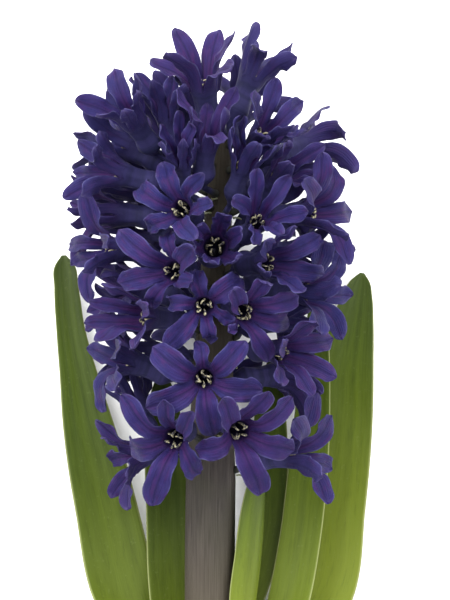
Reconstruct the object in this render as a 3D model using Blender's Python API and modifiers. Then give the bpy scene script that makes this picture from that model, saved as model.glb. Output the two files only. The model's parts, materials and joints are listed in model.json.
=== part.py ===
"""A cut hyacinth: the flowering scape with its leaves, lying on its back.

A fleshy scape carries a dense spike of six-lobed florets, and six strap-shaped leaves clasp its base.
The flower was cut at the neck of its bulb and lies on a bench: the cut end and the backs of the leaves
rest on it at one end, the florets on the underside at the other, splayed flat by the weight.
+Y runs from the cut end to the tip of the spike, +Z is up, the origin is under the middle of it.
"""

import itertools
import math

import bmesh
import bpy
import numpy as np
from mathutils.bvhtree import BVHTree

# ---------------------------------------------------------------------------
# The flower's own frame, in millimetres: x to the right, u along the scape from
# the cut end to the tip, w up from the side it lies on. It lies on its back:
# the scape rises a little from the cut end to the spike.
# ---------------------------------------------------------------------------
TILT = math.radians(8.9)      # slope of the scape
NECK_H = 12.0                 # height of the scape's axis over the bench, at the cut end
SCAPE_LEN = 200.0             # scape, cut end to the top of the rachis
TUBE_LEN = 13.5               # floret: perianth tube
TEPAL_LEN = 17.0              # floret: each lobe along its midline
TEPAL_HALF = 3.9              # floret: widest half-width of a lobe
MOUTH_R = 3.85                # floret: radius of the tube's mouth
BULGE_R = 3.7                 # floret: round the ovary
WAIST_R = 3.15                # floret: narrowest part of the tube
PEDICEL_R = 1.25
LEAF_T = 1.7                  # leaf thickness
TOUCH = 3.15                  # two florets' surface points keep this far apart

SIN_T, COS_T = math.sin(TILT), math.cos(TILT)


def lay_down(p):
    """Flower frame (x, u, w) to bench frame (x, y, z), in millimetres."""
    p = np.asarray(p, float)
    return np.stack(
        [p[..., 0], p[..., 1] * COS_T - p[..., 2] * SIN_T, NECK_H + p[..., 1] * SIN_T + p[..., 2] * COS_T], -1
    )


def turn_down(d):
    d = np.asarray(d, float)
    return np.stack([d[..., 0], d[..., 1] * COS_T - d[..., 2] * SIN_T, d[..., 1] * SIN_T + d[..., 2] * COS_T], -1)


def axis_x(u):
    """The scape bows a little to the right towards its tip."""
    return -0.5 + 4.3 * np.clip((np.asarray(u, float) - 45.0) / 165.0, 0.0, None) ** 2


def scape_r(u):
    return np.interp(u, [0, 40, 95, 115, 150, 180, 193, 200], [7.35, 7.5, 7.6, 6.6, 5.1, 3.9, 3.0, 2.2])


def unit(v):
    v = np.asarray(v, float)
    return v / np.maximum(np.linalg.norm(v, axis=-1, keepdims=True), 1e-9)


# ---------------------------------------------------------------------------
# Florets: mouth centre (x, u, w), heading (x, u, w), roll in degrees, how far the
# lobes open (1 is fully reflexed), size. From the lowest to the top.
# ---------------------------------------------------------------------------
FLORETS = [
    # the side that lies uppermost
    ("floret_front_low_left", (-11.2, 108.8, 25), (-0.30, -0.22, 0.93), 12, 1.00, 1.06, 1),
    ("floret_front_low_right", (8.6, 111.2, 26), (0.28, -0.22, 0.93), 26, 1.00, 1.06, 1),
    ("floret_front_middle", (-2, 126.7, 28.5), (-0.02, -0.12, 0.99), 34, 1.02, 1.04, 1),
    ("floret_front_upper", (-2, 148, 28.5), (-0.02, -0.16, 0.98), 28, 1.00, 0.98, 1),
    ("floret_front_right_mid", (10.1, 146.4, 25.5), (0.40, -0.20, 0.90), 8, 0.92, 1.00, 1),
    ("floret_front_left_mid", (-11.5, 158.6, 24.5), (-0.42, 0.02, 0.90), 22, 0.95, 1.04, 1),
    ("floret_front_left_high", (-9.1, 177, 24), (-0.34, 0.14, 0.93), 2, 0.95, 1.02, 1),
    ("floret_front_cup", (1.2, 166.0, 23.0), (0.08, 0.16, 0.98), 16, 0.12, 1.20, 1.6),
    ("floret_front_cup_right", (14.0, 173.5, 21), (0.34, 0.44, 0.83), 40, 0.42, 0.90, 1),
    ("floret_front_top_cup", (-1.8, 196.6, 18), (0.06, 0.84, 0.54), 5, 0.26, 1.00, 1),
    ("floret_bud_front", (-8.4, 191.5, 18.5), (-0.06, 0.70, 0.71), 10, 0.14, 0.80, 1),
    ("floret_right_centre", (16.8, 161.2, 20), (0.60, 0.02, 0.80), 14, 0.58, 1.08, 1),
    ("floret_right_low_front", (20.9, 134.4, 17), (0.66, -0.06, 0.74), 20, 0.66, 1.02, 1),
    ("floret_right_low_side", (24.1, 103.3, 8), (0.92, 0.14, 0.36), 12, 0.62, 1.02, 1),
    ("floret_right_mid_side", (28.9, 152.4, 8), (0.90, -0.06, 0.42), 34, 0.72, 1.04, 1),
    ("floret_right_big", (30.0, 176.4, 10), (0.82, 0.12, 0.56), 30, 0.66, 1.08, 1),
    ("floret_right_back_side", (27.5, 165, -5), (0.98, 0.02, -0.16), 8, 0.95, 1.00, 0),
    ("floret_right_high_side", (28.6, 197.4, -4), (0.76, 0.38, -0.50), 24, 0.50, 1.04, 1),
    ("floret_right_shoulder", (15.5, 199.2, 14), (0.44, 0.56, 0.70), 16, 0.54, 1.04, 1),
    ("floret_centre_right_a", (9.6, 190, 16.5), (0.28, 0.82, 0.50), 6, 0.32, 0.88, 0),
    ("floret_centre_right_b", (20.3, 187, 10), (0.62, 0.50, 0.60), 30, 0.45, 0.92, 0),
    ("floret_left_high_side", (-28.2, 188.4, 5), (-0.93, 0.28, 0.22), 18, 0.54, 1.04, 1),
    ("floret_left_back_side", (-29.5, 176.5, -4), (-0.97, 0.08, 0.05), 34, 0.66, 1.04, 0),
    ("floret_left_mid_side", (-30.5, 165.1, 8), (-0.88, 0.02, 0.46), 6, 0.72, 1.02, 1),
    ("floret_left_lower_side", (-24.4, 131.4, 3), (-0.92, 0.33, 0.14), 20, 0.72, 1.02, 1),
    ("floret_left_low_front", (-19.6, 145.0, 14), (-0.80, 0.06, 0.60), 38, 0.62, 1.06, 1),
    ("floret_left_low_back", (-22.5, 118.5, -10), (-0.36, 0.84, -0.38), 10, 0.40, 0.86, 0),
    ("floret_left_shoulder_low", (-25.5, 196.4, -6), (-0.88, 0.42, -0.16), 26, 0.50, 1.02, 0),
    ("floret_left_shoulder", (-23.4, 204.3, 10.4), (-0.44, 0.62, 0.64), 12, 0.42, 1.06, 1),
    ("floret_top_left_back", (-13.5, 205.2, 6), (-0.14, 0.94, 0.28), 4, 0.28, 0.86, 1),
    ("floret_top_left", (-2.4, 214.6, 9), (-0.15, 0.88, 0.44), 30, 0.50, 1.10, 1.7),
    ("floret_top_right", (12.4, 217.4, 1), (0.44, 0.89, -0.08), 2, 0.46, 1.06, 1.7),
    # the side that lies undermost, splayed by the bench
    ("floret_back_low_mid", (1.0, 121, -18), (0.30, 0.55, -0.60), 30, 0.72, 0.90, 0),
    ("floret_back_right_a", (19.5, 127, -11), (0.90, 0.10, -0.36), 14, 0.88, 0.98, 0),
    ("floret_back_left_a", (-19.0, 134, -12), (-0.88, 0.10, -0.42), 26, 0.86, 0.96, 0),
    ("floret_back_mid_a", (-4.0, 142, -21), (-0.25, 0.45, -0.80), 12, 0.80, 0.94, 0),
    ("floret_back_right_b", (17.0, 148, -17), (0.74, 0.12, -0.60), 36, 0.88, 0.98, 0),
    ("floret_back_left_b", (-18.0, 157, -17), (-0.72, 0.12, -0.62), 6, 0.86, 0.96, 0),
    ("floret_back_mid_b", (3.0, 163, -23), (0.12, 0.30, -0.90), 22, 0.84, 0.96, 0),
    ("floret_back_right_c", (20.0, 178, -14), (0.78, 0.25, -0.52), 10, 0.84, 0.98, 0),
    ("floret_back_left_c", (-16.0, 184, -17), (-0.66, 0.30, -0.62), 32, 0.80, 0.96, 0),
    ("floret_back_mid_c", (5.0, 187, -20), (0.15, 0.50, -0.82), 18, 0.78, 0.96, 0),
    ("floret_top_back", (9.0, 207, -13), (0.30, 0.75, -0.56), 28, 0.60, 0.94, 0),
    # between them
    ("floret_between_top_left", (-14.0, 201, -11), (-0.40, 0.87, -0.28), 14, 0.46, 0.94, 0),
    ("floret_between_top", (-6.0, 206, -7), (-0.16, 0.95, -0.26), 40, 0.50, 0.96, 0),
    ("floret_between_left_high", (-23.5, 183.5, -8), (-0.92, 0.32, -0.22), 22, 0.46, 0.96, 0),
    ("floret_between_left_mid", (-22.5, 153, 0), (-0.97, 0.14, 0.12), 30, 0.64, 1.00, 0),
    ("floret_between_right_high", (17.5, 189, -8), (0.66, 0.68, -0.32), 34, 0.50, 0.92, 0),
    ("floret_between_right_mid", (20.6, 143.5, -1), (0.96, 0.24, 0.05), 18, 0.40, 0.84, 0),
    ("floret_between_right", (18.4, 158, -14.5), (0.76, 0.34, -0.55), 4, 0.26, 0.80, 0),
    ("floret_between_left", (-18.0, 171.5, -11), (-0.80, 0.30, -0.50), 44, 0.26, 0.82, 0),
    ("floret_left_low_edge", (-21.5, 102.5, 1), (-0.84, -0.25, 0.16), 10, 0.72, 0.92, 0),
]

# Where the lobes' tips lie, seen from 1 m above the spike's middle: (x, u) of each.
TIPS = {
    "floret_front_left_high": ((-13, 189.5), (-2.5, 187), (0.5, 179), (-8, 172), (-18.5, 171), (-19.5, 183.5)),
    "floret_front_left_mid": ((-28, 154), (-27, 171), (-15, 170), (-7, 165.5), (-6.5, 156), (-20.5, 150)),
    "floret_front_upper": ((-4, 155.5), (-13, 150.5), (-14, 136), (-0.5, 134), (10, 141.5), (5.5, 153.5)),
    "floret_front_middle": ((-2.5, 137), (-16, 136), (9, 137), (14, 123.5), (0.5, 110), (-18.5, 118)),
    "floret_front_low_left": ((-28.5, 123.5), (-14.5, 117.5), (-7, 116.5), (-4, 98), (-17.5, 89.5), (-23, 107)),
    "floret_front_low_right": ((4.5, 119.5), (17.5, 122.5), (23.5, 120), (24.5, 106), (14.5, 92.5), (-2, 107)),
    "floret_right_centre": ((24.5, 173), (32.5, 168.5), (31.5, 158.5), (27.5, 152.5), (15.5, 158.5), (15.5, 168.5)),
    "floret_front_right_mid": ((17, 151), (8.5, 152.5), (24.5, 150.5), (22, 144.5), (19, 133), (4, 138)),
    "floret_right_low_front": ((21, 135.5), (31.5, 141.5), (35, 138.5), (36.5, 127.5), (30.5, 121), (20.5, 124)),
    "floret_right_low_side": ((35, 115), (23.5, 114.5), (35.5, 99.5), (32.5, 96.5)),
    "floret_left_shoulder": ((-28, 218.5), (-22, 216), (-22, 212), (-26, 206.5), (-32, 204.5), (-40, 209)),
    "floret_left_high_side": ((-38, 197), (-34.5, 196), (-32.5, 199), (-41.5, 187), (-38.5, 181.5), (-44, 180)),
    "floret_left_back_side": ((-42.5, 175.5), (-41, 178), (-40.5, 171.5), (-33.5, 172.5)),
    "floret_left_mid_side": ((-42, 165.5), (-29, 168.5), (-38.5, 158.5), (-41, 161.5)),
    "floret_left_low_front": ((-35, 153.5), (-35.5, 138), (-38, 143.5), (-18.5, 148), (-39.5, 151)),
    "floret_left_lower_side": ((-36.5, 135.5), (-27.5, 123.5), (-31, 117), (-26, 137)),
    "floret_left_low_edge": ((-27, 104), (-20.5, 97), (-29, 111)),
    "floret_front_cup_right": ((21, 168.5), (12.5, 166)),
    "floret_top_left": ((-11, 231), (2, 230), (8, 230), (7, 219.5), (-14.5, 223), (-19, 221)),
    "floret_top_right": ((15.5, 232), (24, 226), (24.5, 222), (13, 224), (10.5, 228), (20.5, 221)),
    "floret_right_shoulder": ((19.5, 216), (26.5, 209), (27.5, 200), (25, 202), (17, 198.5), (12.5, 212)),
    "floret_front_top_cup": ((-6.5, 208), (-0.5, 209.5), (4.5, 206.5), (4.5, 196.5)),
    "floret_right_high_side": ((33.5, 204.5), (30.5, 203.5), (36.5, 198.5), (37, 194), (39, 190.5), (42.5, 188.5)),
    "floret_right_big": ((26.5, 188), (35, 189.5), (40.5, 177), (41.5, 169)),
    "floret_right_mid_side": ((38, 164.5), (39.5, 155), (42, 152), (38.5, 138.5)),
    "floret_right_back_side": ((46, 164),),
    "floret_top_left_back": ((-17.5, 215.5), (-11.5, 216), (-7.5, 213.5)),
    "floret_bud_front": ((-8.5, 201), (-4, 198)),
}
EYE_X, EYE_U, EYE_W = 4.2, 150.0, 1012.0
CUP_LOBES = {"floret_front_cup": 0.60}      # flowers whose lobes are joined further up, so shorter

NF = len(FLORETS)
ROWS = (0.28, 0.56, 0.82)     # rows of a lobe between its base and its tip
# points of one floret: 0 foot, 1 mid-stalk, 2 tube base, 3-8 bulge ring, 9-14 waist ring,
# 15-20 mouth over each lobe's midline, 21-26 mouth between the lobes, then 10 for each lobe
BULGE, WAIST, MIDS, GAPS, LOBES = 3, 9, 15, 21, 27
NP = LOBES + 60


def half_width(s):
    """Half-width of a lobe along its length, 0 at the mouth to 1 at the blunt tip."""
    s = np.asarray(s, float)
    rise = 0.60 + 0.40 * np.sin(0.5 * np.pi * np.clip(s / 0.56, 0, 1)) ** 1.2
    fall = np.clip(1.0 - np.clip((s - 0.58) / 0.42, 0, 1) ** 2.8, 0, 1) ** 0.52
    return TEPAL_HALF * rise * fall


def lobe_path(opening, n=41):
    """(r, z, angle) along a lobe's midline: it leaves the mouth along the tube, flares and turns back."""
    s = np.linspace(0, 1, n)
    end = 0.21 + 2.05 * opening
    th = 0.16 + (end - 0.16) * (1 - (1 - s) ** 1.55)
    ds = TEPAL_LEN / (n - 1)
    r = MOUTH_R + np.concatenate([[0], np.cumsum(0.5 * (np.sin(th[1:]) + np.sin(th[:-1])) * ds)])
    z = np.concatenate([[0], np.cumsum(0.5 * (np.cos(th[1:]) + np.cos(th[:-1])) * ds)])
    return s, r, z, th


def heading_frame(d, roll):
    """Columns x, y, z of a floret's frame, z along its heading."""
    z = unit(d)
    up = np.array([0.0, 1.0, 0.0]) if abs(z[1]) < 0.9 else np.array([0.0, 0.0, -1.0])
    y = unit(up - z * (up @ z))
    x = np.cross(y, z)
    a = math.radians(roll)
    return np.stack([x * math.cos(a) + y * math.sin(a), y * math.cos(a) - x * math.sin(a), z], 1)


def foot_on_scape(mouth, head, tube):
    """Where the stalk leaves the scape, and where the tube starts: the stalk runs from the scape up to the tube."""
    base = np.asarray(mouth) - unit(head) * tube
    u = base[1] - 3.0
    for _ in range(4):
        a = np.array([axis_x(u), u, 0.0])
        out = base - a
        out[1] = 0.0
        u = min(base[1] - 0.42 * max(np.linalg.norm(out) - scape_r(u), 0.0) - 1.0, SCAPE_LEN - 3.0)
    foot = np.array([axis_x(u), u, 0.0]) + unit(out) * (scape_r(u) + 0.32)
    return foot, base


def spread_feet():
    """Foot and tube base of every floret, the feet kept apart on the scape's surface."""
    feet, bases = [], []
    for _, mouth, head, _, _, size, _ in FLORETS:
        foot, base = foot_on_scape(mouth, head, TUBE_LEN * size)
        feet.append(foot)
        bases.append(base)
    feet, bases = np.array(feet), np.array(bases)
    for _ in range(80):
        d = feet[:, None] - feet[None]
        l = np.linalg.norm(d, axis=2) + np.eye(NF) * 99
        push = np.where(l < 4.6, (4.6 - l) * 0.3, 0.0)
        feet = feet + (d / l[..., None] * push[..., None]).sum(1)
        feet[:, 1] = np.clip(feet[:, 1], 92.0, SCAPE_LEN - 2.5)
        out = np.stack([feet[:, 0] - axis_x(feet[:, 1]), np.zeros(NF), feet[:, 2]], 1)
        out = unit(out) * (scape_r(feet[:, 1]) + 0.34)[:, None]
        feet = np.stack([axis_x(feet[:, 1]) + out[:, 0], feet[:, 1], out[:, 2]], 1)
    return feet, bases


def tip_seen(mouth, frame, size, angle, opening, length):
    """A lobe's tip as seen from above, (x, u); angle and opening may be arrays of one shape."""
    s = np.linspace(0, 1, 21)
    end = 0.21 + 2.05 * np.asarray(opening)[..., None]
    th = 0.16 + (end - 0.16) * (1 - (1 - s) ** 1.55)
    mean = 0.5 * (th[..., 1:] + th[..., :-1])
    r = MOUTH_R + TEPAL_LEN * length * np.sin(mean).mean(-1)
    z = TEPAL_LEN * length * np.cos(mean).mean(-1)
    local = np.stack([r * np.cos(angle), r * np.sin(angle), z + 0 * r], -1) * size
    at = np.asarray(mouth) + local @ frame.T
    k = EYE_W / (EYE_W - at[..., 2])
    k0 = EYE_W / (EYE_W - 12.0)
    return np.stack([EYE_X + (at[..., 0] - EYE_X) * k / k0, EYE_U + (at[..., 1] - EYE_U) * k / k0], -1)


def set_lobes():
    """Roll, and each lobe's (opening, swing, length), so that the tips lie where TIPS has them."""
    chosen = []
    for f, (name, mouth, head, roll, opening, size, _) in enumerate(FLORETS):
        rng = np.random.default_rng(100 + f)
        lobes = []
        for k in range(6):
            o = max(0.0, opening + rng.uniform(-0.11, 0.11) * min(1.0, opening * 2)) * (0.97 if k % 2 else 1.0)
            lobes.append((o, rng.uniform(-0.16, 0.16), rng.uniform(0.95, 1.05) * CUP_LOBES.get(name, 1.0)))
        goals = np.array(TIPS.get(name, ()), float)
        if len(goals):
            o = opening + np.linspace(-0.42, 0.42, 15)
            o, w, g = np.meshgrid(np.maximum(o, 0.03), np.linspace(-0.42, 0.42, 13), (0.88, 0.96, 1.04), indexing="ij")
            odd = 22 * (o - opening) ** 2 + 26 * w**2 + 60 * (g - 1) ** 2
            best = None
            for turn in range(0, 60, 6):
                frame = heading_frame(head, turn)
                cost = np.zeros((6, len(goals)))
                pick = np.zeros((6, len(goals)), int)
                for k in range(6):
                    seen = tip_seen(mouth, frame, size, math.radians(60 * k) + w, o, g)
                    for t, goal in enumerate(goals):
                        c = (((seen - goal) ** 2).sum(-1) + odd).ravel()
                        pick[k, t] = c.argmin()
                        cost[k, t] = c[pick[k, t]]
                orders = np.array(list(itertools.permutations(range(6), len(goals))))
                total = cost[orders, np.arange(len(goals))].sum(1)
                at = total.argmin()
                if best is None or total[at] < best[0] - 1e-9:
                    best = (total[at], turn, orders[at], pick)
            _, roll, order, pick = best
            for t, k in enumerate(order):
                i = pick[k, t]
                lobes[k] = (float(o.flat[i]), float(w.flat[i]), float(g.flat[i]))
        chosen.append((roll, lobes))
    return chosen


def face_up(frame, angle, opening):
    """How far a lobe twists towards the light, which falls from above."""
    light = frame[2]
    th = 0.16 + (0.05 + 2.05 * opening) * 0.85
    er = np.array([math.cos(angle), math.sin(angle), 0])
    along = math.sin(th) * er + np.array([0, 0, math.cos(th)])
    inner = -math.cos(th) * er + np.array([0, 0, math.sin(th)])
    flat = np.cross(light, along)
    across = np.array([-math.sin(angle), math.cos(angle), 0])
    if flat @ across < 0:
        flat = -flat
    turn = math.atan2(flat @ inner, flat @ across) * np.linalg.norm(flat)
    return float(np.clip(turn, -0.9, 0.9)) * min(1.0, max(0.0, (opening - 0.15) / 0.3))


def design(bloom, lobe_set):
    """Every floret's points (NF, NP, 3) in the bench frame, for buds at bloom 0 and the final flowers at 1."""
    made = np.zeros((NF, NP, 3))
    feet, bases = spread_feet()
    for f, (_, mouth, head, _, opening, size, _) in enumerate(FLORETS):
        rng = np.random.default_rng(200 + f)
        roll, lobes = lobe_set[f]
        frame = heading_frame(head, roll)
        grow = size * (0.55 + 0.45 * bloom)
        local = np.zeros((NP, 3))
        local[2] = (0, 0, -TUBE_LEN * size)
        for k in range(6):
            a = math.radians(60 * k)
            c, s = math.cos(a), math.sin(a)
            local[BULGE + k] = (BULGE_R * size * c, BULGE_R * size * s, -10.6 * size)
            local[WAIST + k] = (WAIST_R * size * c, WAIST_R * size * s, -6.2 * size)
            local[MIDS + k] = (MOUTH_R * size * c, MOUTH_R * size * s, 0)
            g = math.radians(60 * k + 30)
            local[GAPS + k] = (0.97 * MOUTH_R * size * math.cos(g), 0.97 * MOUTH_R * size * math.sin(g), -0.9 * size)
            open_k, swing, length = lobes[k]
            open_k, swing = open_k * bloom, swing * bloom
            twist = (rng.uniform(-0.25, 0.25) + face_up(frame, a + swing, open_k)) * bloom
            slim = 0.56 + (min(1.0, max(0.84, 0.72 + 0.42 * opening)) - 0.56) * bloom
            ss, rr, zz, th = lobe_path(open_k)
            for row, sv in enumerate((*ROWS, 1.0)):
                r = np.interp(sv, ss, rr)
                z = np.interp(sv, ss, zz)
                t = np.interp(sv, ss, th)
                r = MOUTH_R + (r - MOUTH_R) * length
                z = z * length
                turn = a + swing * min(1.0, 1.4 * sv)
                er = np.array([math.cos(turn), math.sin(turn), 0])
                ez = np.array([0, 0, 1.0])
                eb = np.array([-math.sin(turn), math.cos(turn), 0])
                inner = -math.cos(t) * er + math.sin(t) * ez
                mid = r * er + z * ez
                at = LOBES + 10 * k + 3 * row
                if row == 3:
                    local[at] = (mid + inner * 0.5) * grow
                    break
                side = math.cos(twist * sv) * eb + math.sin(twist * sv) * inner
                hw = half_width(sv) * slim
                cup = 0.55 + 0.5 * (1 - sv)
                mid = mid + inner * (-0.6 if k % 2 else 0.6) * bloom * (1.0, 1.0, 0.5)[row]
                local[at] = (mid - side * hw + inner * cup) * grow
                local[at + 1] = mid * grow
                local[at + 2] = (mid + side * hw + inner * cup) * grow
        foot, base = feet[f], bases[f]
        world = np.asarray(mouth) + local @ frame.T
        world[0] = foot
        world[1] = 0.5 * (foot + base) + np.array([0, -0.6, 0])
        world[2] = base
        made[f] = lay_down(world)
    return made


def links():
    """Pairs of a floret's points that hold its shape, and how firmly."""
    pairs = {}

    def tie(points, firm):
        for i, a in enumerate(points):
            for b in points[i + 1 :]:
                pairs.setdefault((min(a, b), max(a, b)), firm)

    tube = list(range(1, LOBES))
    for k in range(6):
        lobe = list(range(LOBES + 10 * k, LOBES + 10 * k + 10))
        root = [MIDS + k, GAPS + k, GAPS + (k + 5) % 6]
        tie(lobe[:6] + root, 0.9)
        tie(lobe, 0.75)
        for p in lobe[:4] + [lobe[4]]:
            for q in range(BULGE, LOBES):
                pairs.setdefault((q, p), 0.16)
    tie(tube, 1.0)
    keys = sorted(pairs)
    return np.array(keys), np.array([pairs[k] for k in keys])


def close_pairs(points, owner, part, limit, reach):
    """Index pairs of points of different owners that are closer than limit, found on a grid. Two lobes of
    one floret count as different too: part is the lobe, or -1 on a tube."""
    cell = np.floor(points / limit).astype(np.int64)
    cell -= cell.min(0)
    dims = cell.max(0) + 3
    key = ((cell[:, 0] + 1) * dims[1] + cell[:, 1] + 1) * dims[2] + cell[:, 2] + 1
    order = np.argsort(key, kind="stable")
    ks = key[order]
    found = []
    steps = [(a, b, c) for a in (-1, 0, 1) for b in (-1, 0, 1) for c in (-1, 0, 1)]
    for a, b, c in steps:
        shift = (a * dims[1] + b) * dims[2] + c
        if shift < 0:
            continue
        lo = np.searchsorted(ks, key + shift, "left")
        hi = np.searchsorted(ks, key + shift, "right")
        n = hi - lo
        i = np.repeat(np.arange(len(points)), n)
        start = np.repeat(lo - np.concatenate([[0], np.cumsum(n)[:-1]]), n)
        j = order[start + np.arange(n.sum())]
        apart = (owner[i] != owner[j]) | ((part[i] != part[j]) & (part[i] >= 0) & (part[j] >= 0))
        keep = apart & (owner[i] < reach) & ((i < j) if shift == 0 else True)
        i, j = i[keep], j[keep]
        d = points[i] - points[j]
        near = (d * d).sum(1) < limit * limit
        found.append(np.stack([i[near], j[near]]))
    return np.concatenate(found, 1)


def crossing(x, leaves):
    """Lobe points (floret, point, own) next to faces that pass through another floret or a leaf, or its own lobes."""
    solids = [floret_solid(p) for p in x]
    trees = [BVHTree.FromPolygons([tuple(a) for a in v], f) for v, f in solids]
    low = x.min(1) - 1.0
    high = x.max(1) + 1.0
    faces = sheet_faces()
    caught = set()
    loops = solids[0][1]

    def lobe_points(q):
        if q < 2 * len(faces):
            return [p for p in faces[q // 2] if p >= LOBES]
        if q >= 2 * len(faces) + 48:
            return []
        k, e = divmod(q - 2 * len(faces), 8)
        lobe = LOBES + 10 * k
        edge = [lobe, lobe, lobe + 3, lobe + 6, lobe + 9, lobe + 8, lobe + 5, lobe + 2, lobe + 2]
        return [edge[e], edge[e + 1]]

    for i in range(NF):
        for a, b in trees[i].overlap(trees[i]):
            if a < b and not set(loops[a]) & set(loops[b]):
                caught.update((i, p, True) for q in (a, b) for p in lobe_points(q))
        for leaf in leaves:
            for a, _ in trees[i].overlap(leaf):
                caught.update((i, p, False) for p in lobe_points(a))
        for j in range(i + 1, NF):
            if (low[i] > high[j]).any() or (low[j] > high[i]).any():
                continue
            for a, b in trees[i].overlap(trees[j]):
                caught.update((i, p, False) for p in lobe_points(a))
                caught.update((j, p, False) for p in lobe_points(b))
    return sorted(caught)


def relax(obstacles, leaves, stages=14, rounds=18, settle=420):
    """Opens the buds step by step, so that neighbouring lobes press past each other instead of through:
    each floret keeps its own shape as well as it can, stays near its place, and touches nothing."""
    pairs, firm = links()
    count = np.bincount(pairs.ravel(), minlength=NP).astype(float)
    gather = np.zeros((NP, len(pairs)))
    gather[pairs[:, 0], np.arange(len(pairs))] = 1
    gather[pairs[:, 1], np.arange(len(pairs))] = -1
    gather /= np.maximum(count, 1)[:, None]
    lobe_set = set_lobes()
    x = design(0.0, lobe_set)
    n_obs = len(obstacles)
    owner = np.concatenate([np.repeat(np.arange(NF), NP), np.full(n_obs, NF)])
    lobe_of = np.full(NP, -1)
    lobe_of[LOBES:] = np.arange(60) // 10
    part = np.concatenate([np.tile(lobe_of, NF), np.full(n_obs, -1)])
    front = np.array([f[6] for f in FLORETS], float)
    hold = np.zeros((NF, NP))
    hold[:, 1:LOBES] = (0.10 + 0.22 * front)[:, None]
    hold[:, LOBES:] = (0.008 + 0.06 * front)[:, None]
    give = np.repeat(1.0 - 0.45 * front, NP)           # how readily a point is pushed
    give = np.concatenate([give, np.zeros(n_obs)])
    stalk = np.zeros((NF, NP), bool)
    stalk[:, :3] = True
    total = stages * rounds + settle
    near = None
    shorter, narrower = np.zeros((NF, 6), int), np.zeros((NF, 6), int)
    for it in range(total):
        bloom = min(1.0, (it // rounds + 1) / stages)
        if it % rounds == 0 and it // rounds < stages:
            goal = design(bloom, lobe_set)
            rest = np.linalg.norm(goal[:, pairs[:, 0]] - goal[:, pairs[:, 1]], axis=2)
        if it % 6 == 0:
            pts = np.concatenate([x.reshape(-1, 3), obstacles])
            near = close_pairs(pts, owner, part, TOUCH + 1.6, NF)
        last = it >= stages * rounds
        if last and it % 12 == 0:
            # lobes that still cross draw back a little towards their own mouth
            caught = crossing(x, leaves)
            shorten, narrow = set(), set()
            for f, p, own in caught:
                k = (p - LOBES) // 10
                if own:
                    narrow.add((f, k))
                    if narrower[f, k] > 3:
                        shorten.add((f, k))
                else:
                    shorten.add((f, k))
                    x[f, p] += unit(x[f, MIDS + k] - x[f, p]) * 0.2
            for f, k in sorted(shorten):
                lobe = slice(LOBES + 10 * k, LOBES + 10 * k + 10)
                if shorter[f, k] < 13:
                    shorter[f, k] += 1
                    goal[f, lobe] += (goal[f, MIDS + k] - goal[f, lobe]) * 0.05
            for f, k in sorted(narrow):
                if narrower[f, k] < 14:
                    narrower[f, k] += 1
                    for r in (0, 3, 6):
                        a = LOBES + 10 * k + r
                        goal[f, a] += (goal[f, a + 1] - goal[f, a]) * 0.08
                        goal[f, a + 2] += (goal[f, a + 1] - goal[f, a + 2]) * 0.08
            for f in {f for f, _ in shorten | narrow}:
                rest[f] = np.linalg.norm(goal[f, pairs[:, 0]] - goal[f, pairs[:, 1]], axis=1)
            if not caught and it > stages * rounds + 60:
                break
        # shape
        for _ in range(2):
            d = x[:, pairs[:, 0]] - x[:, pairs[:, 1]]
            l = np.linalg.norm(d, axis=2)
            c = d * ((rest - l) / np.maximum(l, 1e-6) * 0.5 * firm)[..., None]
            x += 1.5 * np.einsum("pk,fkc->fpc", gather, c, optimize=True)
        # place
        x += (goal - x) * (hold * (0.5 if last else 1.0))[..., None]
        # contact
        pts = np.concatenate([x.reshape(-1, 3), obstacles])
        i, j = near
        d = pts[i] - pts[j]
        l = np.linalg.norm(d, axis=1)
        limit = np.where(owner[j] == NF, TOUCH + 0.25, np.where(owner[i] == owner[j], 1.7, TOUCH))
        hit = l < limit
        i, j, d, l, limit = i[hit], j[hit], d[hit], l[hit], limit[hit]
        share = give[i] / np.maximum(give[i] + give[j], 1e-6)
        push = d / np.maximum(l, 1e-6)[:, None] * (limit - l)[:, None]
        moved = np.zeros_like(pts)
        met = np.bincount(i, minlength=len(pts)) + np.bincount(j, minlength=len(pts))
        for c in range(3):
            moved[:, c] = np.bincount(i, push[:, c] * share, len(pts)) - np.bincount(
                j, push[:, c] * (1 - share), len(pts)
            )
        moved *= (np.minimum(1.0, 1.6 / np.maximum(met, 1)))[:, None]
        x += moved[: NF * NP].reshape(NF, NP, 3)
        # the bench
        x[..., 2] = np.maximum(x[..., 2], 0.75)
        # the scape
        y, z = x[..., 1], x[..., 2] - NECK_H
        u = y * COS_T + z * SIN_T
        w = z * COS_T - y * SIN_T
        dx = x[..., 0] - axis_x(u)
        rr = np.sqrt(dx * dx + w * w)
        need = scape_r(u) + 1.9
        inside = (rr < need) & ~stalk & (u < SCAPE_LEN)
        k = np.where(inside, need / np.maximum(rr, 1e-6), 1.0)
        ndx, nw = dx * k, w * k
        x[..., 0] += ndx - dx
        x[..., 1] += -(nw - w) * SIN_T
        x[..., 2] += (nw - w) * COS_T
        x[:, 0] = goal[:, 0]
    return x


# ---------------------------------------------------------------------------
# Leaves: stations (u, x, w, width, azimuth of the upper face, half-angle of the channel)
# ---------------------------------------------------------------------------


def base_station(u, az, half, layer):
    r = 7.35 + 0.35 + LEAF_T / 2 + layer * (LEAF_T + 0.45)
    a, h = math.radians(az), math.radians(half)
    return (u, axis_x(u) + r * math.cos(a), r * math.sin(a), 2 * h * r, az + 180, half)


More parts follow.
